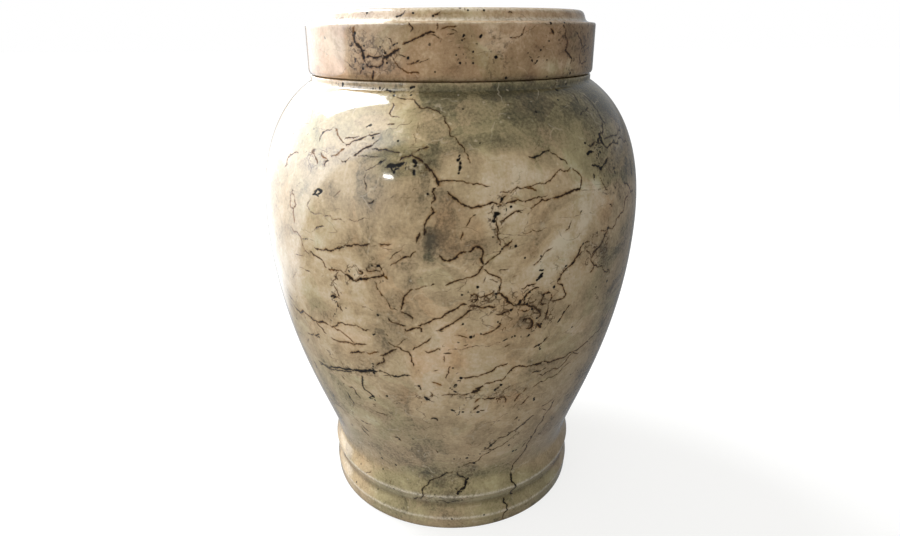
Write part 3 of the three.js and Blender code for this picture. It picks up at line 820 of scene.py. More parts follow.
def outside_outline():
    """From the middle of the underside, over the foot, the taper and the shoulder, to the rim."""
    middle = point(0.0, 0.0)
    standing_edge = point(STANDING_RADIUS, 0.0)
    lower_ring = point(RING_RADIUS, LOWER_RING_HEIGHT)
    groove = point(GROOVE_RADIUS, GROOVE_HEIGHT)
    upper_ring = point(RING_RADIUS, UPPER_RING_HEIGHT)
    waist = point(WAIST_RADIUS, WAIST_HEIGHT)
    neck_foot = point(NECK_RADIUS, RIM_HEIGHT - NECK_HEIGHT)
    rim_edge = point(NECK_RADIUS, RIM_HEIGHT)
    mouth_edge = point(MOUTH_RADIUS, RIM_HEIGHT)
    underside = joined([middle], rounded(middle, standing_edge, lower_ring, STANDING_EDGE), step=INNER_STEP)
    outside = joined(
        underside[-1:],
        rounded(standing_edge, lower_ring, groove, RING_EDGE),
        rounded(lower_ring, groove, upper_ring, RING_EDGE),
        rounded(groove, upper_ring, waist, RING_EDGE),
        evenly(taper_curve(), OUTER_STEP),
        evenly(shoulder_curve(), OUTER_STEP),
        rounded(neck_foot, rim_edge, mouth_edge, RIM_EDGE),
        step=OUTER_STEP,
    )
    return np.concatenate([underside, outside[1:]])


def inside_outline():
    """From the rim, down the mouth and the wall of the hollow, to the middle of its floor."""
    rim_edge = point(NECK_RADIUS, RIM_HEIGHT)
    mouth_edge = point(MOUTH_RADIUS, RIM_HEIGHT)
    mouth_foot = point(MOUTH_RADIUS, RIM_HEIGHT - MOUTH_DEPTH)
    wall = np.concatenate([inner_face(taper_curve(), WALL), inner_face(shoulder_curve(), WALL)[1:]])
    wall_foot = wall[0]
    lowest = point(wall_foot[0], FLOOR_HEIGHT + FLOOR_CORNER)
    floor_corner = point(wall_foot[0], FLOOR_HEIGHT)
    floor_middle = point(0.0, FLOOR_HEIGHT)
    below_mouth = wall[:, 1] < mouth_foot[1] - WALL / 4
    above_corner = wall[:, 1] > lowest[1]
    return joined(
        rounded(rim_edge, mouth_edge, mouth_foot, RIM_EDGE),
        [mouth_foot],
        evenly(wall[below_mouth & above_corner][::-1], INNER_STEP),
        rounded(lowest, floor_corner, floor_middle, FLOOR_CORNER),
        [floor_middle],
        step=INNER_STEP,
    )


def lid_outline():
    """From the middle of the spigot's underside, out under the drum and over the raised disc."""
    spigot_middle = point(0.0, SPIGOT_FOOT_HEIGHT)
    spigot_edge = point(SPIGOT_RADIUS, SPIGOT_FOOT_HEIGHT)
    spigot_root = point(SPIGOT_RADIUS, SEAT_HEIGHT)
    drum_lower = point(DRUM_RADIUS, SEAT_HEIGHT)
    drum_upper = point(DRUM_RADIUS, SEAT_HEIGHT + DRUM_HEIGHT)
    disc_foot = point(DISC_FOOT_RADIUS, SEAT_HEIGHT + DRUM_HEIGHT + LEDGE_RISE)
    disc_edge = point(DISC_TOP_RADIUS, LID_TOP_HEIGHT)
    disc_middle = point(0.0, LID_TOP_HEIGHT)
    spigot = joined(
        [spigot_middle],
        rounded(spigot_middle, spigot_edge, spigot_root, SPIGOT_EDGE),
        [spigot_root],
        step=INNER_STEP,
    )
    cover = joined(
        rounded(spigot_root, drum_lower, drum_upper, DRUM_LOWER_EDGE),
        rounded(drum_lower, drum_upper, disc_foot, DRUM_UPPER_EDGE),
        rounded(drum_upper, disc_foot, disc_edge, LEDGE_COVE),
        rounded(disc_foot, disc_edge, disc_middle, DISC_EDGE),
        [disc_middle],
        step=OUTER_STEP,
    )
    return joined(spigot, cover, step=INNER_STEP)


def turned(name, outline):
    """A closed mesh turned about the vertical axis from an outline that starts and ends on it."""
    rows = outline[1:-1]
    angles = np.arange(COLUMNS) * (2 * math.pi / COLUMNS)
    x = rows[:, :1] * np.sin(angles)
    y = -rows[:, :1] * np.cos(angles)
    z = np.repeat(rows[:, 1:], COLUMNS, axis=1)
    ring_points = np.stack([x, y, z], axis=2).reshape(-1, 3)
    first_pole = len(ring_points)
    last_pole = first_pole + 1
    vertices = np.vstack([ring_points, [0, 0, outline[0][1]], [0, 0, outline[-1][1]]])
    here = np.arange(COLUMNS)
    beside = (here + 1) % COLUMNS
    faces = []
    for row in range(len(rows) - 1):
        lower = row * COLUMNS
        upper = lower + COLUMNS
        faces.extend(np.stack([lower + here, lower + beside, upper + beside, upper + here], axis=1).tolist())
    final = (len(rows) - 1) * COLUMNS
    faces.extend([first_pole, int(b), int(a)] for a, b in zip(here, beside))
    faces.extend([last_pole, int(final + a), int(final + b)] for a, b in zip(here, beside))
    mesh = bpy.data.meshes.new(name)
    mesh.from_pydata(vertices.tolist(), [], faces)
    mesh.shade_smooth()
    piece = bpy.data.objects.new(name, mesh)
    bpy.context.scene.collection.objects.link(piece)
    return piece


def add_camera():
    data = bpy.data.cameras.new("camera")
    data.lens = LENS
    data.sensor_width = SENSOR_WIDTH
    data.clip_start = 0.01
    camera = bpy.data.objects.new("camera", data)
    tilt = Matrix.Rotation(math.pi / 2 - CAMERA_PITCH, 4, "X")
    roll = Matrix.Rotation(CAMERA_ROLL, 4, "Z")
    place = Matrix.Translation((CAMERA_SIDESTEP, -CAMERA_DISTANCE, CAMERA_HEIGHT))
    camera.matrix_world = place @ tilt @ roll
    bpy.context.scene.collection.objects.link(camera)
    bpy.context.scene.camera = camera
    return camera


class Stone:
    """The skin of one turned piece, as the veins are laid on it."""

    def __init__(self, piece, camera):
        mesh = piece.data
        count = len(mesh.vertices)
        places = np.empty(count * 3)
        mesh.vertices.foreach_get("co", places)
        normals = np.empty(count * 3)
        mesh.vertices.foreach_get("normal", normals)
        self.mesh = mesh
        self.camera = camera
        self.places = places.reshape(-1, 3)
        self.normals = normals.reshape(-1, 3)
        faces = [list(face.vertices) for face in mesh.polygons]
        self.skin = BVHTree.FromPolygons(self.places.tolist(), faces)
        self.finder = KDTree(count)
        for index, place in enumerate(self.places):
            self.finder.insert(place, index)
        self.finder.balance()
        self.across = np.full((VEIN_LAYERS, count), FAR)
        self.width = np.zeros((VEIN_LAYERS, count))
        self.tint = np.full((VEIN_LAYERS, count), BROWN)
        self.taken = np.zeros((VEIN_LAYERS, count), dtype=bool)

    def under_pixel(self, x, y):
        """The place on the stone that a pixel of the photograph shows, or None."""
        eye = self.camera.matrix_world.translation
        aim = Vector(((x - IMAGE_WIDTH / 2) / FOCAL_PIXELS, (IMAGE_HEIGHT / 2 - y) / FOCAL_PIXELS, -1))
        return self.skin.ray_cast(eye, self.camera.matrix_world.to_3x3() @ aim)[0]

    def snapped(self, place):
        """The nearest place on the stone, and the stone's direction outwards there."""
        found, outwards, _, _ = self.skin.find_nearest(place)
        return found, outwards

    def store(self, name, values):
        attribute = self.mesh.attributes.new(name, "FLOAT_VECTOR", "POINT")
        attribute.data.foreach_set("vector", np.stack(values, axis=1).astype(np.float32).ravel())


def roughened(stone, places, dice):
    """The same route over the stone, with small random kinks between its points."""
    while True:
        gaps = [(b - a).length for a, b in zip(places, places[1:])]
        if max(gaps) < ROUTE_STEP:
            return places
        finer = [places[0]]
        for a, b, gap in zip(places, places[1:], gaps):
            if gap >= ROUTE_STEP:
                middle, outwards = stone.snapped((a + b) / 2)
                sideways = (b - a).cross(outwards).normalized()
                shift = max(-KINK_LIMIT, min(KINK_LIMIT, dice.gauss(0, 1))) * KINK * gap
                finer.append(stone.snapped(middle + sideways * shift)[0])
            finer.append(b)
        places = finer


def distances(stone, start, end):
    """The vertices near one straight stretch, their signed distance from it and how far along it they lie."""
    middle = (start + end) / 2
    reach = VALID + (end - start).length / 2
    near = np.array([index for _, index, _ in stone.finder.find_range(middle, reach)], dtype=int)
    if len(near) == 0:
        return near, np.array([]), np.array([])
    _, outwards = stone.snapped(middle)
    along = np.array(end - start)
    offset = stone.places[near] - np.array(start)
    share = np.clip(offset @ along / max(along @ along, 1e-12), 0.0, 1.0)
    gap = np.linalg.norm(offset - share[:, None] * along, axis=1)
    side = np.sign(np.cross(along, offset) @ np.array(outwards))
    return near, gap * np.where(side == 0, 1.0, side), share


def reach_of_vein(stone, places, half_width, dice, taper_start, taper_end):
    """The vertices near a vein, and for every vertex how far off it is, on which side, and how thick."""
    count = len(stone.places)
    nearest = np.full(count, np.inf)
    signed = np.full(count, FAR)
    thickness = np.zeros(count)
    lengths = [(b - a).length for a, b in zip(places, places[1:])]
    total = sum(lengths)
    run_out = min(RUN_OUT, total / 4)
    swell = [dice.uniform(*VEIN_SWELL) for _ in range(len(places))]
    travelled = 0.0
    touched = []
    for number, (start, end) in enumerate(zip(places, places[1:])):
        near, gap, share = distances(stone, start, end)
        along = travelled + share * lengths[number]
        strength = swell[number] * (1 - share) + swell[number + 1] * share
        if taper_start:
            strength = strength * np.clip(along / run_out, 0.0, 1.0)
        if taper_end:
            strength = strength * np.clip((total - along) / run_out, 0.0, 1.0)
        closer = (np.abs(gap) < nearest[near]) & (np.abs(gap) < VALID)
        chosen = near[closer]
        nearest[chosen] = np.abs(gap[closer])
        signed[chosen] = gap[closer]
        thickness[chosen] = half_width * strength[closer]
        touched.append(chosen)
        travelled += lengths[number]
    touched = np.unique(np.concatenate(touched)) if touched else np.array([], dtype=int)
    return touched, nearest, signed, thickness


def lay_vein(stone, places, half_width, tint, dice, taper_start=True, taper_end=True, depth=0):
    """Write a vein into the first layer that has room for it, in two halves where no layer has."""
    reach = reach_of_vein(stone, places, half_width, dice, taper_start, taper_end)
    touched, nearest, signed, thickness = reach
    for layer in range(VEIN_LAYERS):
        if not stone.taken[layer, touched].any():
            stone.taken[layer, touched] = True
            stone.across[layer, touched] = signed[touched] / MM
            stone.tint[layer, touched] = tint
            inside = touched[nearest[touched] < SUPPORT]
            stone.width[layer, inside] = thickness[inside]
            return
    if len(places) > 3 and depth < MOST_HALVINGS:
        half = len(places) // 2
        lay_vein(stone, places[: half + 1], half_width, tint, dice, taper_start, False, depth + 1)
        lay_vein(stone, places[half:], half_width, tint, dice, False, taper_end, depth + 1)


def wander(stone, start, heading, length, step, dice):
    """A route that drifts over the stone from a place, a step at a time, and its last heading."""
    place, outwards = stone.snapped(start)
    places = [place]
    for _ in range(max(3, int(length / step))):
        heading = heading - outwards * heading.dot(outwards)
        heading = Quaternion(outwards, dice.gauss(0, WANDER_TURN)) @ heading.normalized()
        place, outwards = stone.snapped(place + heading * step)
        if (place - places[-1]).length < step / 3:
            break
        if photographed(place) != photographed(places[0]):
            break
        places.append(place)
    return places, heading


def lay_read_veins(stone, veins, dice):
    """The veins that the photograph shows, each where its pixels fall on the stone."""
    for half_width, tint, pixels in veins.values():
        places = [place for place in (stone.under_pixel(x, y) for x, y in pixels) if place is not None]
        if len(places) > 1:
            lay_vein(stone, roughened(stone, places, dice), half_width, tint, dice)


def photographed(place):
    """Whether the photograph shows a place on the stone squarely enough to be read."""
    turn = math.atan2(place[1], place[0]) + math.pi / 2
    return abs(math.remainder(turn, 2 * math.pi)) < HIDDEN_FROM and place[2] < LID_TOP_HEIGHT - MM


def drawn_start(stone, lowest, highest, dice):
    """A place drawn by lot, and the direction of the bedding there."""
    turn = dice.uniform(-math.pi, math.pi)
    height = dice.uniform(lowest, highest)
    on_top = height > LID_TOP_HEIGHT - 2 * MM
    reach = dice.uniform(0.2, 1.0) * DRUM_RADIUS if on_top else 2 * BELLY_RADIUS
    place, outwards = stone.snapped(Vector((math.cos(turn) * reach, math.sin(turn) * reach, height)))
    level = Vector((0, 0, 1)).cross(outwards)
    if level.length < 0.1:
        level = Vector((1, 0, 0))
    heading = Quaternion(outwards, dice.gauss(GRAIN_LIE, GRAIN_SPREAD)) @ level.normalized()
    return place, heading


def lay_wandering_veins(stone, count, lowest, highest, dice):
    """Veins for the sides that the photograph doesn't show, in the same lie as those it does."""
    laid = 0
    while laid < count:
        place, heading = drawn_start(stone, lowest, highest, dice)
        if photographed(place):
            continue
        length = dice.uniform(*WANDER_LENGTHS) * MM
        half_width = dice.choice([HAIR, HAIR, FINE, FINE, PLAIN, BOLD])
        tint = dice.choice([SLATE, BROWN, BROWN, BROWN, OCHRE])
        places, heading = wander(stone, place, heading, length, WANDER_STEP, dice)
        laid += 1
        if len(places) < 3:
            continue
        lay_vein(stone, roughened(stone, places, dice), half_width, tint, dice)
        if dice.random() < FORKED_SHARE:
            fork = places[len(places) // 2]
            _, outwards = stone.snapped(fork)
            fork_turn = dice.choice([-1, 1]) * dice.uniform(*FORK_TURNS)
            branch_heading = Quaternion(outwards, fork_turn) @ heading
            branch, _ = wander(stone, fork, branch_heading, length / 2, WANDER_STEP, dice)
            if len(branch) > 2:
                lay_vein(stone, roughened(stone, branch, dice), min(half_width, FINE), tint, dice)


def lay_short_strokes(stone, count, lowest, highest, dice):
    """Short thin strokes all over the stone, between the long veins."""
    for _ in range(count):
        place, heading = drawn_start(stone, lowest, highest, dice)
        length = dice.uniform(*STROKE_LENGTHS) * MM
        places, _ = wander(stone, place, heading, length, STROKE_STEP, dice)
        if len(places) > 2 and not (photographed(place) and dice.random() < STROKES_LEFT_OUT):
            half_width = dice.choice([THREAD, THREAD, HAIR, HAIR, FINE])
            lay_vein(stone, places, half_width, dice.choice([SLATE, BROWN, BROWN, OCHRE]), dice)


def lay_spots(stone):
    """For each vertex, the way to the nearest dark spot and that spot's radius, in millimetres."""
    count = len(stone.places)
    offset = np.full((count, 2), FAR)
    radius = np.zeros(count)
    nearest = np.full(count, np.inf)
    for x, y, spot_radius in (spot for group in SPOTS.values() for spot in group):
        place = stone.under_pixel(x, y)
        if place is None:
            continue
        _, outwards = stone.snapped(place)
        level = Vector((0, 0, 1)).cross(outwards).normalized()
        upwards = outwards.cross(level)
        near = np.array([index for _, index, _ in stone.finder.find_range(place, VALID)], dtype=int)
        away = stone.places[near] - np.array(place)
        gap = np.linalg.norm(away, axis=1)
        closer = gap < nearest[near]
        chosen = near[closer]
        nearest[chosen] = gap[closer]
        offset[chosen, 0] = away[closer] @ np.array(level) / MM
        offset[chosen, 1] = away[closer] @ np.array(upwards) / MM
        radius[chosen] = np.where(gap[closer] < SPOT_REACH, spot_radius, 0.0)
    stone.store("spots", (offset[:, 0], offset[:, 1], radius))


def painted_edge_light(places):
    """How pale each place along the turned edges is painted, as highlight and wear, or, below zero, how dark
    with painted shade in the groove and at the standing edge.
    """
    radius = np.hypot(places[:, 0], places[:, 1])
    edge_paint = np.zeros(len(places))
    for edge_radius, height, width, amount in EDGE_HIGHLIGHTS_AND_SHADE.values():
        away = np.hypot(radius - edge_radius, places[:, 2] - height)
        edge_paint += amount * np.exp(-(away / width) ** 2)
    return edge_paint


def soft_inside(pixels, outline, feather):
    """How far inside a polygon each pixel lies, from 0 outside to 1, softened over the feather."""
    inside = np.zeros(len(pixels), dtype=bool)
    nearest = np.full(len(pixels), np.inf)
    for start, end in zip(outline, outline[1:] + outline[:1]):
        start = np.array(start, dtype=float)
        along = np.array(end, dtype=float) - start
        offset = pixels - start
        share = np.clip(offset @ along / (along @ along), 0, 1)
        nearest = np.minimum(nearest, np.linalg.norm(offset - share[:, None] * along, axis=1))
        crosses = (start[1] > pixels[:, 1]) != (end[1] > pixels[:, 1])
        rise = along[1] if along[1] != 0 else 1e-9
        inside ^= crosses & (pixels[:, 0] < start[0] + offset[:, 1] * along[0] / rise)
    signed = np.where(inside, nearest, -nearest)
    share = np.clip(signed / feather + 0.5, 0, 1)
    return share * share * (3 - 2 * share)


def seen_by_camera(stone):
    """The pixel that each vertex falls on, and how squarely the camera sees it, from 0 to 1."""
    to_camera = np.array(stone.camera.matrix_world.inverted())
    local = stone.places @ to_camera[:3, :3].T + to_camera[:3, 3]
    depth = np.maximum(-local[:, 2], 1e-6)
    pixels = np.stack([
        IMAGE_WIDTH / 2 + FOCAL_PIXELS * local[:, 0] / depth,
        IMAGE_HEIGHT / 2 - FOCAL_PIXELS * local[:, 1] / depth,
    ], axis=1)
    towards = np.array(stone.camera.matrix_world.translation) - stone.places
    facing = (stone.normals * towards).sum(axis=1) / np.linalg.norm(towards, axis=1)
    return pixels, np.clip(facing / SEEN_FADE, 0, 1)


def lay_patches(stone, dice):
    """Soft patches of tone and crowds of small marks: read where the photograph shows the stone, drawn by lot
    where it doesn't."""
    pixels, seen = seen_by_camera(stone)
    tone = np.zeros((len(stone.places), 3))
    # The third channel: turned edges painted pale as highlight and wear, and painted shade in the groove and
    # at the standing edge
    tone[:, 2] = painted_edge_light(stone.places)
    crowd = np.zeros((len(stone.places), 3))
    for lighter, warmer, outline in TONES.values():
        share = soft_inside(pixels, outline, TONE_FEATHER) * seen
        tone[:, 0] += share * lighter
        tone[:, 1] += share * warmer
    for loops, specks, dust, outline in CROWDS.values():
        share = soft_inside(pixels, outline, CROWD_FEATHER) * seen
        crowd = np.maximum(crowd, share[:, None] * np.array([loops, specks, dust]))
    low, high = stone.places.min(axis=0), stone.places.max(axis=0)
    for _ in range(UNSEEN_PATCHES):
        turn = dice.uniform(0, 2 * math.pi)
        spread = dice.uniform(0.3, 1.0) * high[0]
        height = dice.uniform(low[2], high[2] + ABOVE_THE_TOP)
        centre = stone.snapped(Vector((math.cos(turn) * spread, math.sin(turn) * spread, height)))[0]
        size = dice.uniform(*PATCH_SIZES) * MM
        away = np.linalg.norm(stone.places - np.array(centre), axis=1) / size
        share = np.exp(-away ** 3) * (1 - seen)
        tone[:, 0] += share * dice.uniform(-PATCH_LIGHTER, PATCH_LIGHTER)
        tone[:, 1] += share * dice.uniform(-PATCH_WARMER, PATCH_WARMER)
        if dice.random() < CROWDED_SHARE:
            kinds = np.array([dice.random(), dice.random(), dice.random()])
            crowd = np.maximum(crowd, share[:, None] * kinds)
    stone.store("tone", (tone[:, 0], tone[:, 1], tone[:, 2]))
    stone.store("crowd", (crowd[:, 0], crowd[:, 1], crowd[:, 2]))


def lay_marble(piece, camera, veins, wandering, strokes, lowest, highest, seed):
    """Store every vein, spot and patch of a piece on its vertices, for its material to draw."""
    dice = random.Random(seed)
    stone = Stone(piece, camera)
    lay_read_veins(stone, veins, dice)
    lay_wandering_veins(stone, wandering, lowest, highest, dice)
    lay_short_strokes(stone, strokes, lowest, highest, dice)
    lay_spots(stone)
    lay_patches(stone, dice)
    for layer in range(VEIN_LAYERS):
        stone.store(f"veins_{layer}", (stone.across[layer], stone.width[layer], stone.tint[layer]))


class Shading:
    """Short calls that make the shader nodes of one tree."""

    def __init__(self, tree):
        self.tree = tree
        self.position = None

    def plug(self, value, socket):
        """Link a socket to the value of another, or set a plain value on it."""
        if isinstance(value, bpy.types.NodeSocket):
            self.tree.links.new(value, socket)
        else:
            socket.default_value = value

    def add(self, kind, sockets, **settings):
        node = self.tree.nodes.new(kind)
        for name, value in settings.items():
            setattr(node, name, value)
        for name, value in sockets.items():
            self.plug(value, node.inputs[name])
        return node

    def math(self, operation, *values):
        sockets = dict(enumerate(values))
        return self.add("ShaderNodeMath", sockets, operation=operation).outputs[0]

    def times(self, product, *others):
        for other in others:
            product = self.math("MULTIPLY", product, other)
        return product

    def times_plus(self, first, second, third):
        """The first times the second, plus the third."""
        return self.math("MULTIPLY_ADD", first, second, third)

    def swayed(self, value, source, amount):
        """The value, pushed up or down by at most half the amount as the source runs from 0 to 1."""
        return self.times_plus(source, amount, self.math("ADD", value, -amount / 2))

    def vector(self, operation, *values):
        return self.add("ShaderNodeVectorMath", dict(enumerate(values)), operation=operation).outputs[0]

    def measure(self, operation, *vectors):
        """The single number that an operation on vectors gives."""
        sockets = dict(enumerate(vectors))
        return self.add("ShaderNodeVectorMath", sockets, operation=operation).outputs["Value"]

    def scaled(self, vector, factor):
        sockets = {0: vector, "Scale": factor}
        return self.add("ShaderNodeVectorMath", sockets, operation="SCALE").outputs[0]

    def mixed(self, factor, below, above):
        return self.add("ShaderNodeMix", {0: factor, 2: below, 3: above}, data_type="FLOAT").outputs[0]

    def ramp(self, value, from_min, from_max, to_min=0.0, to_max=1.0):
        """The value carried smoothly from one range to another, and held at its ends."""
        sockets = {"Value": value, "From Min": from_min, "From Max": from_max}
        sockets.update({"To Min": to_min, "To Max": to_max})
        return self.add("ShaderNodeMapRange", sockets, interpolation_type="SMOOTHSTEP").outputs["Result"]

    def noise(self, size, detail=3.0, roughness=0.55, where=None, shift=0.0, output="Fac"):
        """Noise from 0 to 1 with features of a size in millimetres."""
        moved = self.vector("ADD", where or self.position, (shift, shift * 0.7, shift * 1.3))
        sockets = {"Vector": moved, "Scale": 1.0 / size, "Detail": detail, "Roughness": roughness}
        return self.add("ShaderNodeTexNoise", sockets).outputs[output]

    def cells(self, size, feature, where):
        """Cells of a size in millimetres, as they lie at a place."""
        return self.add("ShaderNodeTexVoronoi", {"Vector": where, "Scale": 1.0 / size}, feature=feature)

    def warped(self, size, amount, where=None, shift=0.0):
        """The position, pushed about by noise of a size, by an amount in millimetres."""
        noise = self.noise(size, 2.0, 0.5, where, shift, "Color")
        push = self.vector("SUBTRACT", noise, (0.5, 0.5, 0.5))
        return self.vector("ADD", where or self.position, self.scaled(push, amount * 2))

    def blend(self, amount, below, above, how="MIX"):
        node = self.tree.nodes.new("ShaderNodeMix")
        node.data_type = "RGBA"
        node.blend_type = how
        for name, value in (("Factor_Float", amount), ("A_Color", below), ("B_Color", above)):
            self.plug(value, next(s for s in node.inputs if s.identifier == name))
        return next(s for s in node.outputs if s.identifier == "Result_Color")

    def palette(self, value, stops):
        node = self.add("ShaderNodeValToRGB", {"Fac": value})
        elements = node.color_ramp.elements
        while len(elements) < len(stops):
            elements.new(0.5)
        for element, (place, colour) in zip(elements, stops):
            element.position = place
            element.color = (*colour, 1)
        return node.outputs["Color"]

    def stored(self, name):
        return self.add("ShaderNodeAttribute", {}, attribute_name=name).outputs["Vector"]

    def parts(self, vector):
        return self.add("ShaderNodeSeparateXYZ", {0: vector}).outputs


def add_area_light(name, width, height, radiance, colour, place, turn, rise):
    """A rectangular light that faces back from the direction that turn and rise give."""
    data = bpy.data.lights.new(name, "AREA")
    data.shape = "RECTANGLE"
    data.size = width
    data.size_y = height
    data.energy = radiance * math.pi * width * height
    data.color = colour
    light = bpy.data.objects.new(name, data)
    light.location = place
    light.rotation_euler = (math.pi / 2 - rise, 0, turn)
    bpy.context.scene.collection.objects.link(light)


def add_lights():
    """A tall window in the wall on the left, and one small lamp that the polish catches."""
    middle = (-WALL_DISTANCE, (WINDOW_FROM + WINDOW_TO) / 2, (WINDOW_SILL + WINDOW_HEAD) / 2)
    add_area_light("window", WINDOW_TO - WINDOW_FROM, WINDOW_HEAD - WINDOW_SILL, WINDOW_RADIANCE,
                   WINDOW_COLOUR, middle, -math.pi / 2, 0.0)
    turn, rise = math.radians(LAMP_TURN), math.radians(LAMP_RISE)
    away = (math.sin(turn) * math.cos(rise), -math.cos(turn) * math.cos(rise), math.sin(rise))
    place = (away[0] * LAMP_DISTANCE, away[1] * LAMP_DISTANCE, LAMP_AIM_HEIGHT + away[2] * LAMP_DISTANCE)
    add_area_light("lamp", LAMP_WIDTH, LAMP_HEIGHT, LAMP_RADIANCE, LAMP_COLOUR, place, turn, rise)


def add_floor():
    """A pale floor: softly shaded where it shows, and a duller one where it lights the urn."""
    size = FLOOR_HALF_SIZE
    mesh = bpy.data.meshes.new("floor")
    corners = [(-size, -size, 0), (size, -size, 0), (size, size, 0), (-size, size, 0)]
    mesh.from_pydata(corners, [], [(0, 1, 2, 3)])
    floor = bpy.data.objects.new("floor", mesh)
    bpy.context.scene.collection.objects.link(floor)
    material = bpy.data.materials.new("pale_floor")
    material.use_nodes = True
    make = Shading(material.node_tree)
    shader = material.node_tree.nodes["Principled BSDF"]
    shader.inputs["Roughness"].default_value = FLOOR_ROUGHNESS
    shader.inputs["Specular IOR Level"].default_value = FLOOR_GLOSS
    shader.inputs["Emission Color"].default_value = (*FLOOR_COLOUR, 1)
    shown = make.add("ShaderNodeLightPath", {}).outputs["Is Camera Ray"]
    place = make.add("ShaderNodeTexCoord", {}).outputs["Object"]
    distance = make.measure("LENGTH", place)
    glow = make.ramp(distance, FLOOR_NEAR, FLOOR_FAR, FLOOR_GLOW_NEAR, FLOOR_GLOW_FAR)
    albedo = make.ramp(distance, FLOOR_NEAR, FLOOR_FAR, FLOOR_LOOK, 0.0)
    albedo = make.mixed(shown, FLOOR_BOUNCE, albedo)
    make.plug(albedo, shader.inputs["Base Color"])
    make.plug(make.times(glow, shown), shader.inputs["Emission Strength"])
    mesh.materials.append(material)
    floor.visible_glossy = False


def room_light(make, direction):
    """The soft light on the stone: bright from the left, dim from the right and from above."""
    sideways, _, upward = make.parts(direction)
    soft = make.times(make.ramp(sideways, 0.9, -0.9, ROOM_RIGHT, ROOM_LEFT),
                      make.ramp(upward, 0.1, 0.8, 1.0, ROOM_CEILING))
    return make.add("ShaderNodeBackground", {"Color": (*ROOM_COLOUR, 1), "Strength": soft})


def mirrored_room(make, direction):
    """What the polish mirrors: the wall, the floor, the backdrop and the haze of the bright side."""
    sideways, backward, upward = make.parts(direction)
    beyond_edge = make.measure("DOT_PRODUCT", direction, WALL_EDGE)
    wall = make.times(make.ramp(beyond_edge, -0.04, 0.08), make.ramp(sideways, -0.3, -0.55),
                      make.ramp(upward, -0.5, -0.38), make.ramp(backward, -0.1, 0.45, 1.0, 0.42))
    below = make.times(make.ramp(upward, 0.0, -0.3), make.ramp(sideways, 0.5, -0.4))
    back = make.times(make.ramp(backward, 0.2, 0.6), make.ramp(upward, 0.01, 0.08),
                      make.ramp(upward, 0.75, 0.4), make.ramp(sideways, 0.3, -0.4, 0.06, 1.0))
    haze = make.times(make.ramp(sideways, -0.4, -0.9), make.ramp(upward, -0.3, 0.3))
    mirrored = MIRRORED_ROOM
    shares = [(wall, MIRRORED_WALL), (below, MIRRORED_FLOOR), (back, MIRRORED_BACK), (haze, MIRRORED_HAZE)]
    for share, brightness in shares:
        mirrored = make.times_plus(share, brightness, mirrored)
    return make.add("ShaderNodeBackground", {"Color": (*MIRRORED_COLOUR, 1), "Strength": mirrored})


def add_room():
    """A room that is bright on the left and dim on the right, with a plain pale backdrop in view."""
    world = bpy.data.worlds.new("room")
    bpy.context.scene.world = world
    world.use_nodes = True
    world.node_tree.nodes.clear()
    make = Shading(world.node_tree)
    direction = make.add("ShaderNodeTexCoord", {}).outputs["Generated"]
    path = make.add("ShaderNodeLightPath", {})
    backdrop = make.add("ShaderNodeBackground", {"Color": (*BACKDROP_COLOUR, 1)})
    unseen = {0: path.outputs["Is Glossy Ray"], 1: room_light(make, direction).outputs[0],
              2: mirrored_room(make, direction).outputs[0]}
    shown = {0: path.outputs["Is Camera Ray"], 1: make.add("ShaderNodeMixShader", unseen).outputs[0],
             2: backdrop.outputs[0]}
    make.add("ShaderNodeOutputWorld", {"Surface": make.add("ShaderNodeMixShader", shown).outputs[0]})


def vein_layer_group():
    """The node group that draws one layer of veins over the layers before it."""
    group = bpy.data.node_groups.new("vein_layer", "ShaderNodeTree")
    group.interface.new_socket("Veins", in_out="INPUT", socket_type="NodeSocketVector")
    for name in ("Wobble", "Beads", "Mask", "Rim", "Halo", "Tint"):
        group.interface.new_socket(name, in_out="INPUT", socket_type="NodeSocketFloat")
    for name in ("Mask", "Rim", "Halo", "Tint"):
        group.interface.new_socket(name, in_out="OUTPUT", socket_type="NodeSocketFloat")
    make = Shading(group)
    given = make.add("NodeGroupInput", {}).outputs
    result = make.add("NodeGroupOutput", {})
    across, width, tint = make.parts(given["Veins"])
    away = make.math("ABSOLUTE", make.math("ADD", across, given["Wobble"]))
    beaded = make.times(width, given["Beads"])
    core = make.ramp(away, make.times(beaded, 0.5), make.math("ADD", beaded, 0.1), 1.0, 0.0)
    core = make.times(core, make.ramp(beaded, 0.03, 0.13))
    thread = make.ramp(away, 0.05, 0.24, 1.0, 0.0)
    thread = make.times(thread, make.ramp(width, 0.03, 0.3, 0.0, 0.6))
    rim = make.ramp(away, make.times(beaded, 0.5), make.math("ADD", beaded, 0.55), 1.0, 0.0)
    rim = make.times(rim, make.ramp(width, 0.03, 0.2))
    spread = make.ramp(away, 0.0, make.times_plus(width, 3.4, 0.5), 1.0, 0.0)
    spread = make.times(spread, make.ramp(width, 0.04, 0.35))
    outputs = {
        "Mask": make.math("MAXIMUM", given["Mask"], make.math("MAXIMUM", core, thread)),
        "Rim": make.math("MAXIMUM", given["Rim"], rim),
        "Halo": make.math("MAXIMUM", given["Halo"], spread),
        "Tint": make.mixed(spread, given["Tint"], tint),
    }
    for name, value in outputs.items():
        make.plug(value, result.inputs[name])
    return group


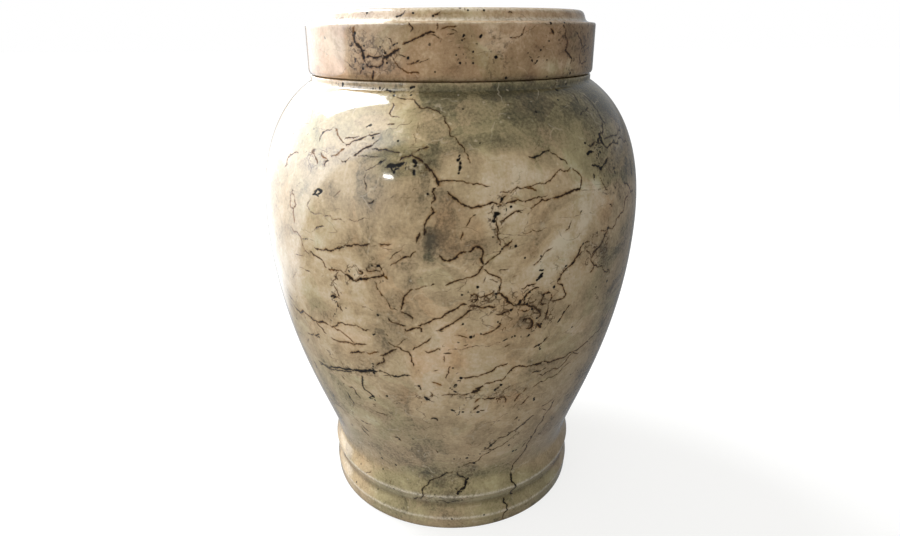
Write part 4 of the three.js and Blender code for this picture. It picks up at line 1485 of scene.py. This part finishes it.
def base_colour(make, stops, olive, blush):
    """Clouds and ragged clasts in the stone's own range of colours, and the noises they are made with."""
    lighter, warmer, _ = make.parts(make.stored("tone"))
    drifting = make.warped(40.0, 14.0)
    clouds = make.noise(CLOUDS, 4.0, 0.55, drifting)
    mottle = make.noise(MOTTLE, 6.0, 0.68, drifting, 31.0)
    grain = make.noise(GRAIN, 3.0, 0.7, shift=7.0)
    ragged = make.warped(2.4, 1.6, make.warped(13.0, 5.0, drifting, 57.0), 15.0)
    large_light, large_warm, _ = make.parts(make.cells(LARGE_CLASTS, "F1", ragged).outputs["Color"])
    small_light, small_warm, _ = make.parts(make.cells(SMALL_CLASTS, "F1", ragged).outputs["Color"])
    tone = make.times_plus(clouds, CLOUD_LIGHT, 0.5 - CLOUD_LIGHT / 2)
    lights = [(mottle, MOTTLE_LIGHT), (large_light, LARGE_CLAST_LIGHT),
              (small_light, SMALL_CLAST_LIGHT), (grain, GRAIN_LIGHT)]
    for source, amount in lights:
        tone = make.swayed(tone, source, amount)
    patchy = make.ramp(mottle, 0.3, 0.7, 0.65, 1.35)
    # The read tones carry painted shade below the lid and on the right shoulder, and painted light on the
    # disc's side
    tone = make.times_plus(make.times(lighter, patchy), READ_LIGHT, tone)
    colour = make.palette(tone, stops)
    drift = make.noise(TINT_DRIFT, 3.0, 0.6, drifting, 83.0)
    warmth = warmer
    for source, amount in [(large_warm, CLAST_WARMTH), (small_warm, CLAST_WARMTH), (drift, DRIFT_WARMTH)]:
        warmth = make.swayed(warmth, source, amount)
    colour = make.blend(make.ramp(warmth, 0.0, -0.9), colour, (*olive, 1), "MULTIPLY")
    colour = make.blend(make.ramp(warmth, 0.0, 0.9), colour, (*blush, 1), "MULTIPLY")
    return colour, mottle, grain


def pale_marks(make, colour, palest):
    """Scattered flecks and winding threads of the palest stone."""
    fleck = make.cells(FLECKS, "F1", make.warped(1.6, 0.7, shift=9.0))
    fleck_lot = make.ramp(make.parts(fleck.outputs["Color"])[0], 0.66, 0.95)
    fleck_amount = make.times(make.ramp(fleck.outputs["Distance"], 0.26, 0.06), fleck_lot)
    colour = make.blend(make.times(fleck_amount, 0.4), colour, (*palest, 1))
    winding = make.warped(9.0, 6.0, shift=12.0)
    pale_net = make.cells(PALE_THREADS, "DISTANCE_TO_EDGE", winding).outputs["Distance"]
    pale_where = make.ramp(make.noise(9.0, 2.0, 0.5, shift=91.0), 0.52, 0.62)
    pale_line = make.times(make.ramp(pale_net, 0.026, 0.006), pale_where)
    return make.blend(make.times(pale_line, 0.25), colour, (*palest, 1))


def paint_edge_light_and_shade(make, colour, grain):
    """Turned edges painted pale, as highlight and wear, and painted shade in the groove of the foot and along
    its standing edge.
    """
    edge_light = make.parts(make.stored("tone"))[2]
    edge_highlight = make.times(edge_light, make.ramp(grain, 0.35, 0.6, 0.5, 1.0))
    colour = make.blend(make.ramp(edge_highlight, 0.0, 1.0), colour, (*EDGE_HIGHLIGHT_AND_WEAR, 1))
    edge_shade = make.ramp(edge_light, 0.0, -1.0)
    return make.blend(make.times(edge_shade, 0.55), colour, (*EDGE_SHADE_COLOUR, 1), "MULTIPLY")


def hairlines(make, breaks):
    """Faint lines in the lie of the bedding."""
    bedded = make.vector("MULTIPLY", make.position, (1.0, 1.0, 2.3))
    drawn_out = make.warped(9.0, 6.0, make.warped(40.0, 16.0, bedded, 3.0), 44.0)
    hair_net = make.cells(HAIRLINES, "DISTANCE_TO_EDGE", drawn_out)
    hair_where = make.ramp(make.noise(20.0, 2.0, 0.5, shift=66.0), 0.44, 0.54)
    hair = make.ramp(hair_net.outputs["Distance"], 0.008, 0.0025)
    return make.times(hair, hair_where, make.ramp(breaks, 0.4, 0.55))


def little_loops(make, loops, breaks):
    """Rings and the curly cells between them, where the loops crowd together."""
    curly = make.warped(2.6, 1.7, shift=19.0)
    loop_net = make.cells(LOOPS, "DISTANCE_TO_EDGE", curly).outputs["Distance"]
    ring_cells = make.cells(RINGS, "F1", curly)
    ring_gap = make.math("ABSOLUTE", make.math("SUBTRACT", ring_cells.outputs["Distance"], 0.36))
    ring = make.times(make.ramp(ring_gap, 0.085, 0.025),
                      make.ramp(make.parts(ring_cells.outputs["Color"])[2], 0.45, 0.55))
    curls = make.math("MAXIMUM", ring, make.times(make.ramp(loop_net, 0.07, 0.015), 0.8))
    loop_where = make.ramp(make.times(loops, make.ramp(breaks, 0.36, 0.6, 0.2, 1.0)), 0.25, 0.5)
    return make.times(curls, loop_where)


def specks_and_dust(make, colour, specks, dust):
    speck = make.cells(SPECKS, "F1", make.warped(1.6, 0.9, shift=5.0))
    lot = make.parts(speck.outputs["Color"])[1]
    size = make.ramp(lot, make.times_plus(specks, -0.62, 0.86), 1.05, 0.0, 0.2)
    speck_amount = make.ramp(speck.outputs["Distance"], make.times_plus(size, 1.0, 0.03),
                             make.times(size, 0.5))
    speck_amount = make.times(speck_amount, make.ramp(size, 0.012, 0.06))
    colour = make.blend(make.times(speck_amount, 0.85), colour, (*SPECK_BROWN, 1))
    dusk = make.noise(DUST, 4.0, 0.7, shift=37.0)
    dust_amount = make.times(make.ramp(dusk, 0.5, 0.64), make.ramp(dust, 0.05, 0.9))
    return make.blend(make.times(dust_amount, 0.65), colour, (*DUST_BROWN, 1))


def small_marks(make, colour):
    """Hairlines, and crowds of little loops, specks and dust."""
    loops, specks, dust = make.parts(make.stored("crowd"))
    breaks = make.noise(4.0, 3.0, 0.65, shift=23.0)
    hair = hairlines(make, breaks)
    loop = little_loops(make, loops, breaks)
    lines = make.math("MAXIMUM", make.times(hair, 0.6), make.times(loop, 0.85))
    colour = make.blend(lines, colour, (*LOOP_BROWN, 1))
    return specks_and_dust(make, colour, specks, dust), lines


def drawn_veins(make, colour, mottle, layers):
    """The stored veins, each with a brown rim and a stain about it, in outlines finer than the mesh."""
    wide = make.noise(WIDE_WOBBLE, 4.0, 0.72, shift=71.0)
    fine = make.noise(FINE_WOBBLE, 2.0, 0.6, shift=29.0)
    wobble = make.times_plus(wide, 1.7, make.times_plus(fine, 0.9, -1.3))
    beads = make.ramp(make.noise(BEADS, 3.0, 0.7, shift=53.0), 0.33, 0.66, 0.4, 1.6)
    running = {"Mask": 0.0, "Rim": 0.0, "Halo": 0.0, "Tint": BROWN}
    for number in range(VEIN_LAYERS):
        sockets = {"Veins": make.stored(f"veins_{number}"), "Wobble": wobble, "Beads": beads, **running}
        layer = make.add("ShaderNodeGroup", sockets, node_tree=layers)
        running = {socket: layer.outputs[socket] for socket in running}
    stained = make.times(running["Halo"], make.ramp(mottle, 0.35, 0.65, 0.25, 0.85))
    colour = make.blend(stained, colour, make.palette(running["Tint"], STAIN_COLOURS), "MULTIPLY")
    rimmed = make.times(running["Rim"], make.ramp(fine, 0.35, 0.65, 0.35, 0.9))
    colour = make.blend(rimmed, colour, make.palette(running["Tint"], RIM_COLOURS), "MULTIPLY")
    return make.blend(running["Mask"], colour, make.palette(running["Tint"], VEIN_COLOURS)), running["Mask"]


def dark_spots(make, colour):
    """The single dark spots, with ragged outlines."""
    away_level, away_up, radius = make.parts(make.stored("spots"))
    ragged = make.times_plus(make.noise(SPOT_EDGES, 2.0, 0.6, shift=61.0), 0.9, -0.4)
    squares = [make.math("POWER", away, 2.0) for away in (away_level, away_up)]
    gap = make.math("SQRT", make.math("ADD", *squares))
    spot = make.ramp(make.math("ADD", gap, ragged), make.times(radius, 0.6),
                     make.math("ADD", radius, 0.1), 1.0, 0.0)
    spot = make.times(spot, make.ramp(radius, 0.1, 0.3))
    return make.blend(spot, colour, (*SPOT_BLACK, 1)), spot


def marble(name, layers, stops, olive, blush):
    """Polished marble: the stone's colours, its small marks, its veins and spots, and the polish."""
    material = bpy.data.materials.new(name)
    material.use_nodes = True
    make = Shading(material.node_tree)
    shader = material.node_tree.nodes["Principled BSDF"]
    metres = make.add("ShaderNodeTexCoord", {}).outputs["Object"]
    make.position = make.scaled(metres, 1 / MM)
    colour, mottle, grain = base_colour(make, stops, olive, blush)
    colour = pale_marks(make, colour, stops[-1][1])
    # Turned edges painted pale as highlight and wear, with painted shade in the foot's groove and at its
    # standing edge
    colour = paint_edge_light_and_shade(make, colour, grain)
    colour, lines = small_marks(make, colour)
    colour, veins = drawn_veins(make, colour, mottle, layers)
    colour, spots = dark_spots(make, colour)
    make.plug(colour, shader.inputs["Base Color"])

    # In the veins the polish is duller and weaker, and a little sunk
    dull = make.math("MAXIMUM", veins, spots)
    gloss = make.times_plus(mottle, CLOUDED_POLISH, POLISH)
    make.plug(make.times_plus(dull, VEIN_ROUGHER, gloss), shader.inputs["Roughness"])
    make.plug(make.ramp(dull, 0.0, 1.0, STONE_GLOSS, VEIN_GLOSS), shader.inputs["Specular IOR Level"])
    sunk = make.times_plus(dull, -1.0, make.times(lines, -0.3))
    bump = make.add("ShaderNodeBump", {"Height": sunk, "Distance": VEIN_DEPTH, "Strength": 1.0})
    make.plug(bump.outputs["Normal"], shader.inputs["Normal"])
    return material


camera = add_camera()
layers = vein_layer_group()
body = turned("urn_body_stone", joined(outside_outline(), inside_outline(), step=INNER_STEP))
lay_marble(body, camera, BODY_VEINS, BODY_VEIN_COUNT, BODY_STROKE_COUNT,
           LOWEST_VEIN, HIGHEST_BODY_VEIN, BODY_SEED)
body.data.materials.append(marble("body_marble", layers, BODY_PALETTE, BODY_OLIVE, BODY_BLUSH))
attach(body, "root")
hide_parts("urn_body")

lid = turned("lid_stone", lid_outline())
lay_marble(lid, camera, LID_VEINS, LID_VEIN_COUNT, LID_STROKE_COUNT, SEAT_HEIGHT, HIGHEST_LID_VEIN, LID_SEED)
lid.data.materials.append(marble("lid_marble", layers, LID_PALETTE, LID_OLIVE, LID_BLUSH))
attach(lid, "root")
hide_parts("lid")

add_floor()
add_room()
add_lights()
bpy.context.scene.view_settings.view_transform = "Standard"
